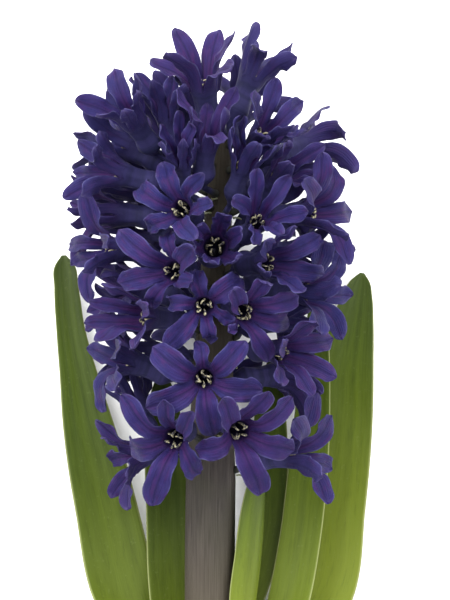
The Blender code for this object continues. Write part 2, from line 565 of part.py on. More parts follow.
LEAVES = {
    "leaf_left_outer": [
        base_station(0, 168, 50, 1),
        base_station(10, 168, 50, 1),
        (26, -15.0, 0.5, 20.5, 350, 42),
        (44, -22.4, -5.0, 22.0, 398, 34),
        (62, -27.6, -10.0, 22.0, 430, 26),
        (85.5, -32.6, -15.4, 19.8, 438, 22),
        (99, -35.6, -18.4, 18.4, 440, 21),
        (112.8, -38.7, -21.2, 15.6, 442, 21),
        (126.6, -41.4, -24.0, 12.0, 443, 21),
        (140.4, -43.9, -26.8, 9.2, 444, 22),
        (154, -45.4, -29.0, 7.8, 445, 26),
        (161, -46.0, -30.0, 6.2, 446, 32),
        (164, -46.2, -30.4, 1.4, 446, 36),
    ],
    "leaf_left_inner": [
        base_station(0, 203, 41, 0),
        base_station(12, 203, 41, 0),
        (30, -10.8, -5.4, 14.6, 395, 36),
        (50, -12.4, -9.0, 14.6, 420, 28),
        (66, -13.2, -11.4, 14.2, 434, 24),
        (85, -13.8, -14.4, 13.4, 440, 22),
        (100, -14.4, -17.4, 13.0, 442, 22),
        (112, -14.8, -20.2, 11.4, 442, 22),
        (122, -15.2, -22.6, 7.2, 442, 25),
        (128, -15.6, -24.0, 1.6, 442, 30),
    ],
    "leaf_right_inner": [
        base_station(0, 6, 41, 0),
        base_station(14, 6, 41, 0),
        (34, 9.6, 3.2, 12.6, 200, 36),
        (48, 10.3, 4.2, 12.8, 210, 33),
        (60, 10.8, 4.6, 12.8, 222, 30),
        (72, 12.2, 3.4, 12.6, 222, 28),
        (84, 13.4, 1.8, 12.0, 220, 26),
        (92.5, 14.4, -0.2, 9.8, 217, 25),
        (99.5, 15.4, -2.2, 5.6, 213, 28),
        (103, 15.8, -3.4, 1.4, 210, 32),
    ],
    "leaf_right_back": [
        base_station(0, -75, 21, 0),
        base_station(14, -75, 21, 0),
        (32, 4.6, -10.0, 8.0, 104, 22),
        (50, 8.4, -13.8, 10.0, 102, 22),
        (64, 13.0, -16.0, 11.5, 101, 22),
        (80, 16.8, -18.4, 12.0, 101, 22),
        (100, 18.0, -21.4, 12.0, 98, 22),
        (116, 18.4, -24.0, 9.6, 97, 23),
        (127, 18.8, -26.2, 5.6, 96, 25),
        (133, 19.0, -27.4, 1.6, 96, 28),
    ],
    "leaf_right_middle": [
        base_station(0, -14, 38, 1),
        base_station(10, -14, 38, 1),
        (28, 15.6, -3.4, 15.5, 150, 34),
        (44, 20.8, -6.8, 15.0, 130, 28),
        (60, 24.6, -9.8, 14.0, 112, 24),
        (78.6, 27.8, -13.2, 13.2, 104, 22),
        (95.7, 29.8, -16.4, 12.8, 102, 21),
        (121, 31.8, -21.6, 10.6, 100, 21),
        (140, 32.8, -25.6, 7.6, 99, 24),
        (150, 33.4, -27.4, 4.6, 98, 28),
        (154, 33.6, -28.0, 1.4, 98, 32),
    ],
    "leaf_right_outer": [
        base_station(0, -90, 32, 1),
        base_station(10, -90, 32, 1),
        (24, 9.0, -13.4, 17.0, 90, 19),
        (42, 21.0, -17.2, 19.5, 94, 21),
        (60, 34.0, -18.8, 20.5, 97, 22),
        (85.5, 38.2, -23.0, 20.0, 98, 21),
        (112.8, 41.1, -27.0, 19.0, 98, 20),
        (130, 42.2, -29.4, 17.6, 98, 20),
        (144, 44.5, -31.2, 13.0, 97, 22),
        (151.8, 45.9, -32.2, 9.4, 96, 26),
        (156, 46.8, -32.6, 6.0, 96, 32),
        (158.5, 47.2, -32.8, 1.4, 96, 36),
    ],
}


def through(stations, t):
    """A smooth curve through the stations, read at t from 0 to 1 along their length."""
    p = np.array(stations, float)
    step = np.linalg.norm(np.diff(p[:, :3], axis=0), axis=1)
    at = np.concatenate([[0], np.cumsum(step)])
    slope = np.gradient(p, at, axis=0)
    q = np.asarray(t) * at[-1]
    k = np.clip(np.searchsorted(at, q, "right") - 1, 0, len(at) - 2)
    h = (at[k + 1] - at[k])[:, None]
    s = ((q - at[k]) / (at[k + 1] - at[k]))[:, None]
    return (
        (2 * s**3 - 3 * s**2 + 1) * p[k]
        + (s**3 - 2 * s**2 + s) * h * slope[k]
        + (-2 * s**3 + 3 * s**2) * p[k + 1]
        + (s**3 - s**2) * h * slope[k + 1]
    )


def leaf_tree(sheet):
    """The leaf's two faces, a little swollen, for finding what passes through them."""
    rows, cols = sheet.shape[:2]
    n = np.cross(np.gradient(sheet, axis=0), np.gradient(sheet, axis=1))
    n = unit(n) * (LEAF_T / 2 + 0.25)
    verts = np.concatenate([(sheet + n).reshape(-1, 3), (sheet - n).reshape(-1, 3)])
    faces = []
    for k in (0, rows * cols):
        for r in range(rows - 1):
            for c in range(cols - 1):
                a = k + r * cols + c
                faces.append((a, a + 1, a + cols + 1, a + cols))
    return BVHTree.FromPolygons([tuple(v) for v in verts], faces)


def leaf_sheet(stations, rows, cols, lift=LEAF_T / 2 + 0.1):
    """The leaf's middle surface, as (rows, cols, 3) points in the bench frame, and its upper-face normals."""
    t = np.linspace(0, 1, rows)
    t = 0.5 * t + 0.5 * (1 - (1 - t) ** 1.5)     # closer rows at the tip
    c = through(stations, t)
    p = c[:, [1, 0, 2]]
    tan = unit(np.gradient(p, axis=0))
    n = np.stack([np.cos(np.radians(c[:, 4])), np.zeros(rows), np.sin(np.radians(c[:, 4]))], 1)
    n = unit(n - tan * (n * tan).sum(1, keepdims=True))
    b = np.cross(tan, n)
    phi = np.radians(np.maximum(c[:, 5], 3))[:, None]
    width = np.maximum(c[:, 3], 0.8)[:, None]
    v = np.linspace(-1, 1, cols)[None, :]
    rad = width / (2 * phi)
    sheet = (
        p[:, None] + (rad * np.sin(v * phi))[..., None] * b[:, None] + (rad * (1 - np.cos(v * phi)))[..., None] * n[:, None]
    )
    sheet = lay_down(sheet)
    sheet[..., 2] = np.maximum(sheet[..., 2], lift)
    return sheet
# ---------------------------------------------------------------------------
# Meshes
# ---------------------------------------------------------------------------
TEPAL_T = 0.8                 # thickness of a lobe
SHEET_RING = [MIDS + k // 2 if k % 2 == 0 else GAPS + k // 2 for k in range(12)]


def sheet_faces():
    """The floret's wall as one sheet of faces, inner side up: tube from the waist to the mouth, then six lobes."""
    faces = []
    for k in range(6):
        n = (k + 1) % 6
        a, b = WAIST + k, WAIST + n
        m, g, m2 = MIDS + k, GAPS + k, MIDS + n
        faces += [(a, m, g), (a, g, b), (b, g, m2)]
        lobe = LOBES + 10 * k
        left = GAPS + (k + 5) % 6
        rows = [(left, m, g)] + [(lobe + r, lobe + r + 1, lobe + r + 2) for r in (0, 3, 6)]
        for (l0, c0, r0), (l1, c1, r1) in zip(rows, rows[1:]):
            faces += [(l0, l1, c1), (l0, c1, c0), (c0, c1, r0), (c1, r1, r0)]
        faces += [(lobe + 6, lobe + 9, lobe + 7), (lobe + 7, lobe + 9, lobe + 8)]
    return faces


def sheet_normals(p, faces):
    n = np.zeros_like(p)
    for f in faces:
        f = list(f)
        c = np.cross(p[f[1]] - p[f[0]], p[f[2]] - p[f[0]])
        if len(f) == 4:
            c = c + np.cross(p[f[2]] - p[f[0]], p[f[3]] - p[f[0]])
        n[f] += unit(c)
    return unit(n)


def ring_around(centre, axis, toward, radius, count):
    a = unit(axis)
    x = unit(toward - a * (toward @ a))
    y = np.cross(a, x)
    t = np.arange(count) * 2 * np.pi / count
    return centre + radius * (np.cos(t)[:, None] * x + np.sin(t)[:, None] * y)


def floret_solid(p):
    """One floret as a closed solid: stalk, round base, tube, six lobes with a thickness, throat with its pistil."""
    faces = sheet_faces()
    n = sheet_normals(p, faces)
    used = list(range(WAIST, NP))
    outer, inner, verts, out = {}, {}, [], []
    mouth = p[MIDS : MIDS + 6].mean(0)
    throat = p[WAIST : WAIST + 6].mean(0)
    axis = unit(mouth - throat)
    for i in used:
        half = TEPAL_T / 2 * (0.75 if i >= LOBES and (i - LOBES) % 10 == 9 else 1.0)
        outer[i] = len(verts)
        verts.append(p[i] - n[i] * half if i >= MIDS else p[i])
        inner[i] = len(verts)
        verts.append(p[i] + n[i] * half if i >= MIDS else throat + 0.55 * (p[i] - throat))
    for f in faces:
        out.append([inner[i] for i in f])
        out.append([outer[i] for i in reversed(f)])
    for k in range(6):
        lobe = LOBES + 10 * k
        edge = [GAPS + (k + 5) % 6, lobe, lobe + 3, lobe + 6, lobe + 9, lobe + 8, lobe + 5, lobe + 2, GAPS + k]
        for a, b in zip(edge, edge[1:]):
            out.append([outer[a], outer[b], inner[b], inner[a]])
    # the throat closes on the pistil
    tip = len(verts)
    verts.append(throat + axis * 2.6)
    for k in range(6):
        out.append([inner[WAIST + k], tip, inner[WAIST + (k + 1) % 6]][::-1])
    # round base
    ring = [outer[WAIST + k] for k in range(6)]
    bulge = len(verts)
    verts += list(p[BULGE : BULGE + 6])
    for k in range(6):
        m = (k + 1) % 6
        out.append([bulge + k, bulge + m, ring[m], ring[k]])
    # stalk
    x = p[BULGE] - p[BULGE : BULGE + 6].mean(0)
    base = len(verts)
    lower, upper = unit(p[1] - p[0]), unit(p[2] - p[1])
    verts += list(ring_around(p[2], axis + upper, x, PEDICEL_R + 0.45, 4))
    mid = len(verts)
    verts += list(ring_around(p[1], lower + upper, x, PEDICEL_R, 4))
    foot = len(verts)
    y, z = p[0][1], p[0][2] - NECK_H
    u = y * COS_T + z * SIN_T
    here = lay_down(np.array([axis_x(u), u, 0.0]))
    away = unit(p[0] - here)
    verts += list(ring_around(p[0], away, unit(p[2] - p[0]) * 0.01 + x, PEDICEL_R, 4))
    near = [0, 1, 1, 2, 3, 3]          # the ring corner each side of the round base runs down to
    for k in range(6):
        m = (k + 1) % 6
        a, b = near[k], near[m]
        if a == b:
            out.append([base + a, bulge + m, bulge + k])
        else:
            out.append([base + a, base + b, bulge + m, bulge + k])
    for k in range(4):
        m = (k + 1) % 4
        out.append([mid + k, mid + m, base + m, base + k])
        out.append([foot + k, foot + m, mid + m, mid + k])
    out.append([foot + 3, foot + 2, foot + 1, foot + 0])
    return np.array(verts), out


# ---------------------------------------------------------------------------
# Objects
# ---------------------------------------------------------------------------
COLOURS = {
    "petal_violet": ((0.085, 0.052, 0.27), 0.45),
    "scape_flesh": ((0.105, 0.085, 0.06), 0.5),
    "leaf_green": ((0.10, 0.15, 0.035), 0.42),
}
LEAF_ROWS, LEAF_COLS = 19, 5


def material(name):
    found = bpy.data.materials.get(name)
    if found:
        return found
    colour, rough = COLOURS[name]
    m = bpy.data.materials.new(name)
    m.use_nodes = True
    shader = m.node_tree.nodes["Principled BSDF"]
    shader.inputs["Base Color"].default_value = (*colour, 1)
    shader.inputs["Roughness"].default_value = rough
    shader.inputs["Metallic"].default_value = 0.0
    m.diffuse_color = (*colour, 1)
    return m


def add_mesh(name, verts, faces, slot, home, shift):
    """A mesh object from points in millimetres."""
    me = bpy.data.meshes.new(name)
    me.from_pydata((np.asarray(verts) / 1000 + shift).tolist(), [], faces)
    bm = bmesh.new()
    bm.from_mesh(me)
    bmesh.ops.recalc_face_normals(bm, faces=bm.faces)
    bmesh.ops.triangulate(bm, faces=bm.faces)
    bm.to_mesh(me)
    bm.free()
    obj = bpy.data.objects.new(name, me)
    me.materials.append(material(slot))
    home.objects.link(obj)
    return obj


def leaf_object(name, stations, home, shift):
    """A leaf is a channelled blade: its middle surface, given its thickness by a Solidify modifier."""
    sheet = leaf_sheet(stations, LEAF_ROWS, LEAF_COLS)
    verts = sheet.reshape(-1, 3)
    faces = []
    for r in range(LEAF_ROWS - 1):
        for c in range(LEAF_COLS - 1):
            a = r * LEAF_COLS + c
            faces.append((a, a + 1, a + LEAF_COLS + 1, a + LEAF_COLS))
    me = bpy.data.meshes.new(name)
    me.from_pydata((verts / 1000 + shift).tolist(), [], faces)
    me.materials.append(material("leaf_green"))
    obj = bpy.data.objects.new(name, me)
    home.objects.link(obj)
    thick = obj.modifiers.new("Thickness", "SOLIDIFY")
    thick.thickness = LEAF_T / 1000
    thick.offset = 0.0
    thick.use_even_offset = False
    return obj


def scape_object(home, shift):
    """The scape is a round bar along a slightly bowed line, slimmer towards its tip."""
    curve = bpy.data.curves.new("scape", "CURVE")
    curve.dimensions = "3D"
    curve.bevel_depth = 1.0 / 1000
    curve.bevel_resolution = 5
    curve.use_fill_caps = True
    us = np.concatenate([np.linspace(0, SCAPE_LEN - 14, 16), SCAPE_LEN - np.array([8, 4, 1.5, 0])])
    pts = lay_down(np.stack([axis_x(us), us, np.zeros_like(us)], 1)) / 1000 + shift
    line = curve.splines.new("POLY")
    line.points.add(len(us) - 1)
    for p, at, u in zip(line.points, pts, us):
        p.co = (*at, 1)
        p.radius = float(scape_r(u)) * (1.0 if u < SCAPE_LEN - 2 else 0.85 if u < SCAPE_LEN - 1 else 0.5)
    curve.materials.append(material("scape_flesh"))
    obj = bpy.data.objects.new("scape", curve)
    home.objects.link(obj)
    return obj


for old in list(bpy.data.objects):
    bpy.data.objects.remove(old, do_unlink=True)
home = bpy.data.collections.new("hyacinth")
bpy.context.scene.collection.children.link(home)

sheets = {name: leaf_sheet(stations, 70, 9) for name, stations in LEAVES.items()}
points = relax(np.concatenate([s.reshape(-1, 3) for s in sheets.values()]), [leaf_tree(s) for s in sheets.values()])
solids = [floret_solid(p) for p in points]
ends = np.concatenate([v for v, _ in solids] + [s.reshape(-1, 3) for s in sheets.values()])
lowest = min(np.concatenate([v for v, _ in solids])[:, 2].min(), min(s[..., 2].min() for s in sheets.values()) - LEAF_T / 2)
shift = -np.array([0.5 * (ends[:, 0].min() + ends[:, 0].max()), 0.5 * (ends[:, 1].min() + ends[:, 1].max()), lowest]) / 1000

scape_object(home, shift)
for name, stations in LEAVES.items():
    leaf_object(name, stations, home, shift)
for (name, *_), (verts, faces) in zip(FLORETS, solids):
    add_mesh(name, verts, faces, "petal_violet", home, shift)
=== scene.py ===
"""Visual model of the cut hyacinth: fine petals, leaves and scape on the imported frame."""
import itertools
import json
import math

import bmesh
import bpy
import numpy as np
from mathutils import Matrix, Vector
from mathutils.bvhtree import BVHTree

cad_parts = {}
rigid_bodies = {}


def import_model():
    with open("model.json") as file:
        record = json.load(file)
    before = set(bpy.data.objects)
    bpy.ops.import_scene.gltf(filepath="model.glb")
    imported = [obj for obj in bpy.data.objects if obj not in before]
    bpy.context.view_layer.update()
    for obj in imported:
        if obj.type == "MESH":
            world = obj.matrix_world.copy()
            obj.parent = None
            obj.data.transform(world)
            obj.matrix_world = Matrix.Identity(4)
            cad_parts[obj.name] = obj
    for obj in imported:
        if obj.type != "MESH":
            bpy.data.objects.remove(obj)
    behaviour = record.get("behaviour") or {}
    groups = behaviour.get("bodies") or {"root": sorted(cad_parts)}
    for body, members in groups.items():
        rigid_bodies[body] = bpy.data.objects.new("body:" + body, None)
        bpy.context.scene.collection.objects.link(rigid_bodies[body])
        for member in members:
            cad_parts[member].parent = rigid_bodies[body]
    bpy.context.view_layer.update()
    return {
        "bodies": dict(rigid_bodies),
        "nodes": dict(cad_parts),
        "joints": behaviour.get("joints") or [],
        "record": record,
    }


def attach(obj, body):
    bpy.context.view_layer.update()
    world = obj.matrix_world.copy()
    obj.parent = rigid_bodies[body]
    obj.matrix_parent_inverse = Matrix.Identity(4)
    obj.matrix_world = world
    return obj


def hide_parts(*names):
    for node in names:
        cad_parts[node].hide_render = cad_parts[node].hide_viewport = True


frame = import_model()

# ---------------------------------------------------------------------------
# The flower's own frame, in millimetres: x to the right, u along the scape from
# the cut end to the tip, w up from the side it lies on. It lies on its back:
# the scape rises a little from the cut end to the spike.
# ---------------------------------------------------------------------------
TILT = math.radians(8.9)      # slope of the scape
NECK_H = 12.0                 # height of the scape's axis over the bench, at the cut end
SCAPE_LEN = 200.0             # scape, cut end to the top of the rachis
TUBE_LEN = 13.5               # floret: perianth tube
TEPAL_LEN = 17.0              # floret: each lobe along its midline
TEPAL_HALF = 3.9              # floret: widest half-width of a lobe
MOUTH_R = 3.85                # floret: radius of the tube's mouth
BULGE_R = 3.7                 # floret: round the ovary
WAIST_R = 3.15                # floret: narrowest part of the tube
PEDICEL_R = 1.25
LEAF_T = 1.7                  # leaf thickness
TOUCH = 3.15                  # two florets' surface points keep this far apart

SIN_T, COS_T = math.sin(TILT), math.cos(TILT)


def lay_down(p):
    """Flower frame (x, u, w) to bench frame (x, y, z), in millimetres."""
    p = np.asarray(p, float)
    return np.stack(
        [p[..., 0], p[..., 1] * COS_T - p[..., 2] * SIN_T, NECK_H + p[..., 1] * SIN_T + p[..., 2] * COS_T], -1
    )


def turn_down(d):
    d = np.asarray(d, float)
    return np.stack([d[..., 0], d[..., 1] * COS_T - d[..., 2] * SIN_T, d[..., 1] * SIN_T + d[..., 2] * COS_T], -1)


def axis_x(u):
    """The scape bows a little to the right towards its tip."""
    return -0.5 + 4.3 * np.clip((np.asarray(u, float) - 45.0) / 165.0, 0.0, None) ** 2


def scape_r(u):
    return np.interp(u, [0, 40, 95, 115, 150, 180, 193, 200], [7.35, 7.5, 7.6, 6.6, 5.1, 3.9, 3.0, 2.2])


def unit(v):
    v = np.asarray(v, float)
    return v / np.maximum(np.linalg.norm(v, axis=-1, keepdims=True), 1e-9)


# ---------------------------------------------------------------------------
# Florets: mouth centre (x, u, w), heading (x, u, w), roll in degrees, how far the
# lobes open (1 is fully reflexed), size. From the lowest to the top.
# ---------------------------------------------------------------------------
FLORETS = [
    # the side that lies uppermost
    ("floret_front_low_left", (-11.2, 108.8, 25), (-0.30, -0.22, 0.93), 12, 1.00, 1.06, 1),
    ("floret_front_low_right", (8.6, 111.2, 26), (0.28, -0.22, 0.93), 26, 1.00, 1.06, 1),
    ("floret_front_middle", (-2, 126.7, 28.5), (-0.02, -0.12, 0.99), 34, 1.02, 1.04, 1),
    ("floret_front_upper", (-2, 148, 28.5), (-0.02, -0.16, 0.98), 28, 1.00, 0.98, 1),
    ("floret_front_right_mid", (10.1, 146.4, 25.5), (0.40, -0.20, 0.90), 8, 0.92, 1.00, 1),
    ("floret_front_left_mid", (-11.5, 158.6, 24.5), (-0.42, 0.02, 0.90), 22, 0.95, 1.04, 1),
    ("floret_front_left_high", (-9.1, 177, 24), (-0.34, 0.14, 0.93), 2, 0.95, 1.02, 1),
    ("floret_front_cup", (1.2, 166.0, 23.0), (0.08, 0.16, 0.98), 16, 0.12, 1.20, 1.6),
    ("floret_front_cup_right", (14.0, 173.5, 21), (0.34, 0.44, 0.83), 40, 0.42, 0.90, 1),
    ("floret_front_top_cup", (-1.8, 196.6, 18), (0.06, 0.84, 0.54), 5, 0.26, 1.00, 1),
    ("floret_bud_front", (-8.4, 191.5, 18.5), (-0.06, 0.70, 0.71), 10, 0.14, 0.80, 1),
    ("floret_right_centre", (16.8, 161.2, 20), (0.60, 0.02, 0.80), 14, 0.58, 1.08, 1),
    ("floret_right_low_front", (20.9, 134.4, 17), (0.66, -0.06, 0.74), 20, 0.66, 1.02, 1),
    ("floret_right_low_side", (24.1, 103.3, 8), (0.92, 0.14, 0.36), 12, 0.62, 1.02, 1),
    ("floret_right_mid_side", (28.9, 152.4, 8), (0.90, -0.06, 0.42), 34, 0.72, 1.04, 1),
    ("floret_right_big", (30.0, 176.4, 10), (0.82, 0.12, 0.56), 30, 0.66, 1.08, 1),
    ("floret_right_back_side", (27.5, 165, -5), (0.98, 0.02, -0.16), 8, 0.95, 1.00, 0),
    ("floret_right_high_side", (28.6, 197.4, -4), (0.76, 0.38, -0.50), 24, 0.50, 1.04, 1),
    ("floret_right_shoulder", (15.5, 199.2, 14), (0.44, 0.56, 0.70), 16, 0.54, 1.04, 1),
    ("floret_centre_right_a", (9.6, 190, 16.5), (0.28, 0.82, 0.50), 6, 0.32, 0.88, 0),
    ("floret_centre_right_b", (20.3, 187, 10), (0.62, 0.50, 0.60), 30, 0.45, 0.92, 0),
    ("floret_left_high_side", (-28.2, 188.4, 5), (-0.93, 0.28, 0.22), 18, 0.54, 1.04, 1),
    ("floret_left_back_side", (-29.5, 176.5, -4), (-0.97, 0.08, 0.05), 34, 0.66, 1.04, 0),
    ("floret_left_mid_side", (-30.5, 165.1, 8), (-0.88, 0.02, 0.46), 6, 0.72, 1.02, 1),
    ("floret_left_lower_side", (-24.4, 131.4, 3), (-0.92, 0.33, 0.14), 20, 0.72, 1.02, 1),
    ("floret_left_low_front", (-19.6, 145.0, 14), (-0.80, 0.06, 0.60), 38, 0.62, 1.06, 1),
    ("floret_left_low_back", (-22.5, 118.5, -10), (-0.36, 0.84, -0.38), 10, 0.40, 0.86, 0),
    ("floret_left_shoulder_low", (-25.5, 196.4, -6), (-0.88, 0.42, -0.16), 26, 0.50, 1.02, 0),
    ("floret_left_shoulder", (-23.4, 204.3, 10.4), (-0.44, 0.62, 0.64), 12, 0.42, 1.06, 1),
    ("floret_top_left_back", (-13.5, 205.2, 6), (-0.14, 0.94, 0.28), 4, 0.28, 0.86, 1),
    ("floret_top_left", (-2.4, 214.6, 9), (-0.15, 0.88, 0.44), 30, 0.50, 1.10, 1.7),
    ("floret_top_right", (12.4, 217.4, 1), (0.44, 0.89, -0.08), 2, 0.46, 1.06, 1.7),
    # the side that lies undermost, splayed by the bench
    ("floret_back_low_mid", (1.0, 121, -18), (0.30, 0.55, -0.60), 30, 0.72, 0.90, 0),
    ("floret_back_right_a", (19.5, 127, -11), (0.90, 0.10, -0.36), 14, 0.88, 0.98, 0),
    ("floret_back_left_a", (-19.0, 134, -12), (-0.88, 0.10, -0.42), 26, 0.86, 0.96, 0),
    ("floret_back_mid_a", (-4.0, 142, -21), (-0.25, 0.45, -0.80), 12, 0.80, 0.94, 0),
    ("floret_back_right_b", (17.0, 148, -17), (0.74, 0.12, -0.60), 36, 0.88, 0.98, 0),
    ("floret_back_left_b", (-18.0, 157, -17), (-0.72, 0.12, -0.62), 6, 0.86, 0.96, 0),
    ("floret_back_mid_b", (3.0, 163, -23), (0.12, 0.30, -0.90), 22, 0.84, 0.96, 0),
    ("floret_back_right_c", (20.0, 178, -14), (0.78, 0.25, -0.52), 10, 0.84, 0.98, 0),
    ("floret_back_left_c", (-16.0, 184, -17), (-0.66, 0.30, -0.62), 32, 0.80, 0.96, 0),
    ("floret_back_mid_c", (5.0, 187, -20), (0.15, 0.50, -0.82), 18, 0.78, 0.96, 0),
    ("floret_top_back", (9.0, 207, -13), (0.30, 0.75, -0.56), 28, 0.60, 0.94, 0),
    # between them
    ("floret_between_top_left", (-14.0, 201, -11), (-0.40, 0.87, -0.28), 14, 0.46, 0.94, 0),
    ("floret_between_top", (-6.0, 206, -7), (-0.16, 0.95, -0.26), 40, 0.50, 0.96, 0),
    ("floret_between_left_high", (-23.5, 183.5, -8), (-0.92, 0.32, -0.22), 22, 0.46, 0.96, 0),
    ("floret_between_left_mid", (-22.5, 153, 0), (-0.97, 0.14, 0.12), 30, 0.64, 1.00, 0),
    ("floret_between_right_high", (17.5, 189, -8), (0.66, 0.68, -0.32), 34, 0.50, 0.92, 0),
    ("floret_between_right_mid", (20.6, 143.5, -1), (0.96, 0.24, 0.05), 18, 0.40, 0.84, 0),
    ("floret_between_right", (18.4, 158, -14.5), (0.76, 0.34, -0.55), 4, 0.26, 0.80, 0),
    ("floret_between_left", (-18.0, 171.5, -11), (-0.80, 0.30, -0.50), 44, 0.26, 0.82, 0),
    ("floret_left_low_edge", (-21.5, 102.5, 1), (-0.84, -0.25, 0.16), 10, 0.72, 0.92, 0),
]

# Where the lobes' tips lie, seen from 1 m above the spike's middle: (x, u) of each.
TIPS = {
    "floret_front_left_high": ((-13, 189.5), (-2.5, 187), (0.5, 179), (-8, 172), (-18.5, 171), (-19.5, 183.5)),
    "floret_front_left_mid": ((-28, 154), (-27, 171), (-15, 170), (-7, 165.5), (-6.5, 156), (-20.5, 150)),
    "floret_front_upper": ((-4, 155.5), (-13, 150.5), (-14, 136), (-0.5, 134), (10, 141.5), (5.5, 153.5)),
    "floret_front_middle": ((-2.5, 137), (-16, 136), (9, 137), (14, 123.5), (0.5, 110), (-18.5, 118)),
    "floret_front_low_left": ((-28.5, 123.5), (-14.5, 117.5), (-7, 116.5), (-4, 98), (-17.5, 89.5), (-23, 107)),
    "floret_front_low_right": ((4.5, 119.5), (17.5, 122.5), (23.5, 120), (24.5, 106), (14.5, 92.5), (-2, 107)),
    "floret_right_centre": ((24.5, 173), (32.5, 168.5), (31.5, 158.5), (27.5, 152.5), (15.5, 158.5), (15.5, 168.5)),
    "floret_front_right_mid": ((17, 151), (8.5, 152.5), (24.5, 150.5), (22, 144.5), (19, 133), (4, 138)),
    "floret_right_low_front": ((21, 135.5), (31.5, 141.5), (35, 138.5), (36.5, 127.5), (30.5, 121), (20.5, 124)),
    "floret_right_low_side": ((35, 115), (23.5, 114.5), (35.5, 99.5), (32.5, 96.5)),
    "floret_left_shoulder": ((-28, 218.5), (-22, 216), (-22, 212), (-26, 206.5), (-32, 204.5), (-40, 209)),
    "floret_left_high_side": ((-38, 197), (-34.5, 196), (-32.5, 199), (-41.5, 187), (-38.5, 181.5), (-44, 180)),
    "floret_left_back_side": ((-42.5, 175.5), (-41, 178), (-40.5, 171.5), (-33.5, 172.5)),
    "floret_left_mid_side": ((-42, 165.5), (-29, 168.5), (-38.5, 158.5), (-41, 161.5)),
    "floret_left_low_front": ((-35, 153.5), (-35.5, 138), (-38, 143.5), (-18.5, 148), (-39.5, 151)),
    "floret_left_lower_side": ((-36.5, 135.5), (-27.5, 123.5), (-31, 117), (-26, 137)),
    "floret_left_low_edge": ((-27, 104), (-20.5, 97), (-29, 111)),
    "floret_front_cup_right": ((21, 168.5), (12.5, 166)),
    "floret_top_left": ((-11, 231), (2, 230), (8, 230), (7, 219.5), (-14.5, 223), (-19, 221)),
    "floret_top_right": ((15.5, 232), (24, 226), (24.5, 222), (13, 224), (10.5, 228), (20.5, 221)),
    "floret_right_shoulder": ((19.5, 216), (26.5, 209), (27.5, 200), (25, 202), (17, 198.5), (12.5, 212)),
    "floret_front_top_cup": ((-6.5, 208), (-0.5, 209.5), (4.5, 206.5), (4.5, 196.5)),
    "floret_right_high_side": ((33.5, 204.5), (30.5, 203.5), (36.5, 198.5), (37, 194), (39, 190.5), (42.5, 188.5)),
    "floret_right_big": ((26.5, 188), (35, 189.5), (40.5, 177), (41.5, 169)),
    "floret_right_mid_side": ((38, 164.5), (39.5, 155), (42, 152), (38.5, 138.5)),
    "floret_right_back_side": ((46, 164),),
    "floret_top_left_back": ((-17.5, 215.5), (-11.5, 216), (-7.5, 213.5)),
    "floret_bud_front": ((-8.5, 201), (-4, 198)),
}
EYE_X, EYE_U, EYE_W = 4.2, 150.0, 1012.0
CUP_LOBES = {"floret_front_cup": 0.60}      # flowers whose lobes are joined further up, so shorter

NF = len(FLORETS)
ROWS = (0.28, 0.56, 0.82)     # rows of a lobe between its base and its tip
# points of one floret: 0 foot, 1 mid-stalk, 2 tube base, 3-8 bulge ring, 9-14 waist ring,
# 15-20 mouth over each lobe's midline, 21-26 mouth between the lobes, then 10 for each lobe
BULGE, WAIST, MIDS, GAPS, LOBES = 3, 9, 15, 21, 27
NP = LOBES + 60


def half_width(s):
    """Half-width of a lobe along its length, 0 at the mouth to 1 at the blunt tip."""
    s = np.asarray(s, float)
    rise = 0.60 + 0.40 * np.sin(0.5 * np.pi * np.clip(s / 0.56, 0, 1)) ** 1.2
    fall = np.clip(1.0 - np.clip((s - 0.58) / 0.42, 0, 1) ** 2.8, 0, 1) ** 0.52
    return TEPAL_HALF * rise * fall


def lobe_path(opening, n=41):
    """(r, z, angle) along a lobe's midline: it leaves the mouth along the tube, flares and turns back."""
    s = np.linspace(0, 1, n)
    end = 0.21 + 2.05 * opening
    th = 0.16 + (end - 0.16) * (1 - (1 - s) ** 1.55)
    ds = TEPAL_LEN / (n - 1)
    r = MOUTH_R + np.concatenate([[0], np.cumsum(0.5 * (np.sin(th[1:]) + np.sin(th[:-1])) * ds)])
    z = np.concatenate([[0], np.cumsum(0.5 * (np.cos(th[1:]) + np.cos(th[:-1])) * ds)])
    return s, r, z, th


def heading_frame(d, roll):
    """Columns x, y, z of a floret's frame, z along its heading."""
    z = unit(d)
    up = np.array([0.0, 1.0, 0.0]) if abs(z[1]) < 0.9 else np.array([0.0, 0.0, -1.0])
    y = unit(up - z * (up @ z))
    x = np.cross(y, z)
    a = math.radians(roll)
    return np.stack([x * math.cos(a) + y * math.sin(a), y * math.cos(a) - x * math.sin(a), z], 1)


def foot_on_scape(mouth, head, tube):
    """Where the stalk leaves the scape, and where the tube starts: the stalk runs from the scape up to the tube."""
    base = np.asarray(mouth) - unit(head) * tube
    u = base[1] - 3.0
    for _ in range(4):
        a = np.array([axis_x(u), u, 0.0])
        out = base - a
        out[1] = 0.0
        u = min(base[1] - 0.42 * max(np.linalg.norm(out) - scape_r(u), 0.0) - 1.0, SCAPE_LEN - 3.0)
    foot = np.array([axis_x(u), u, 0.0]) + unit(out) * (scape_r(u) + 0.32)
    return foot, base


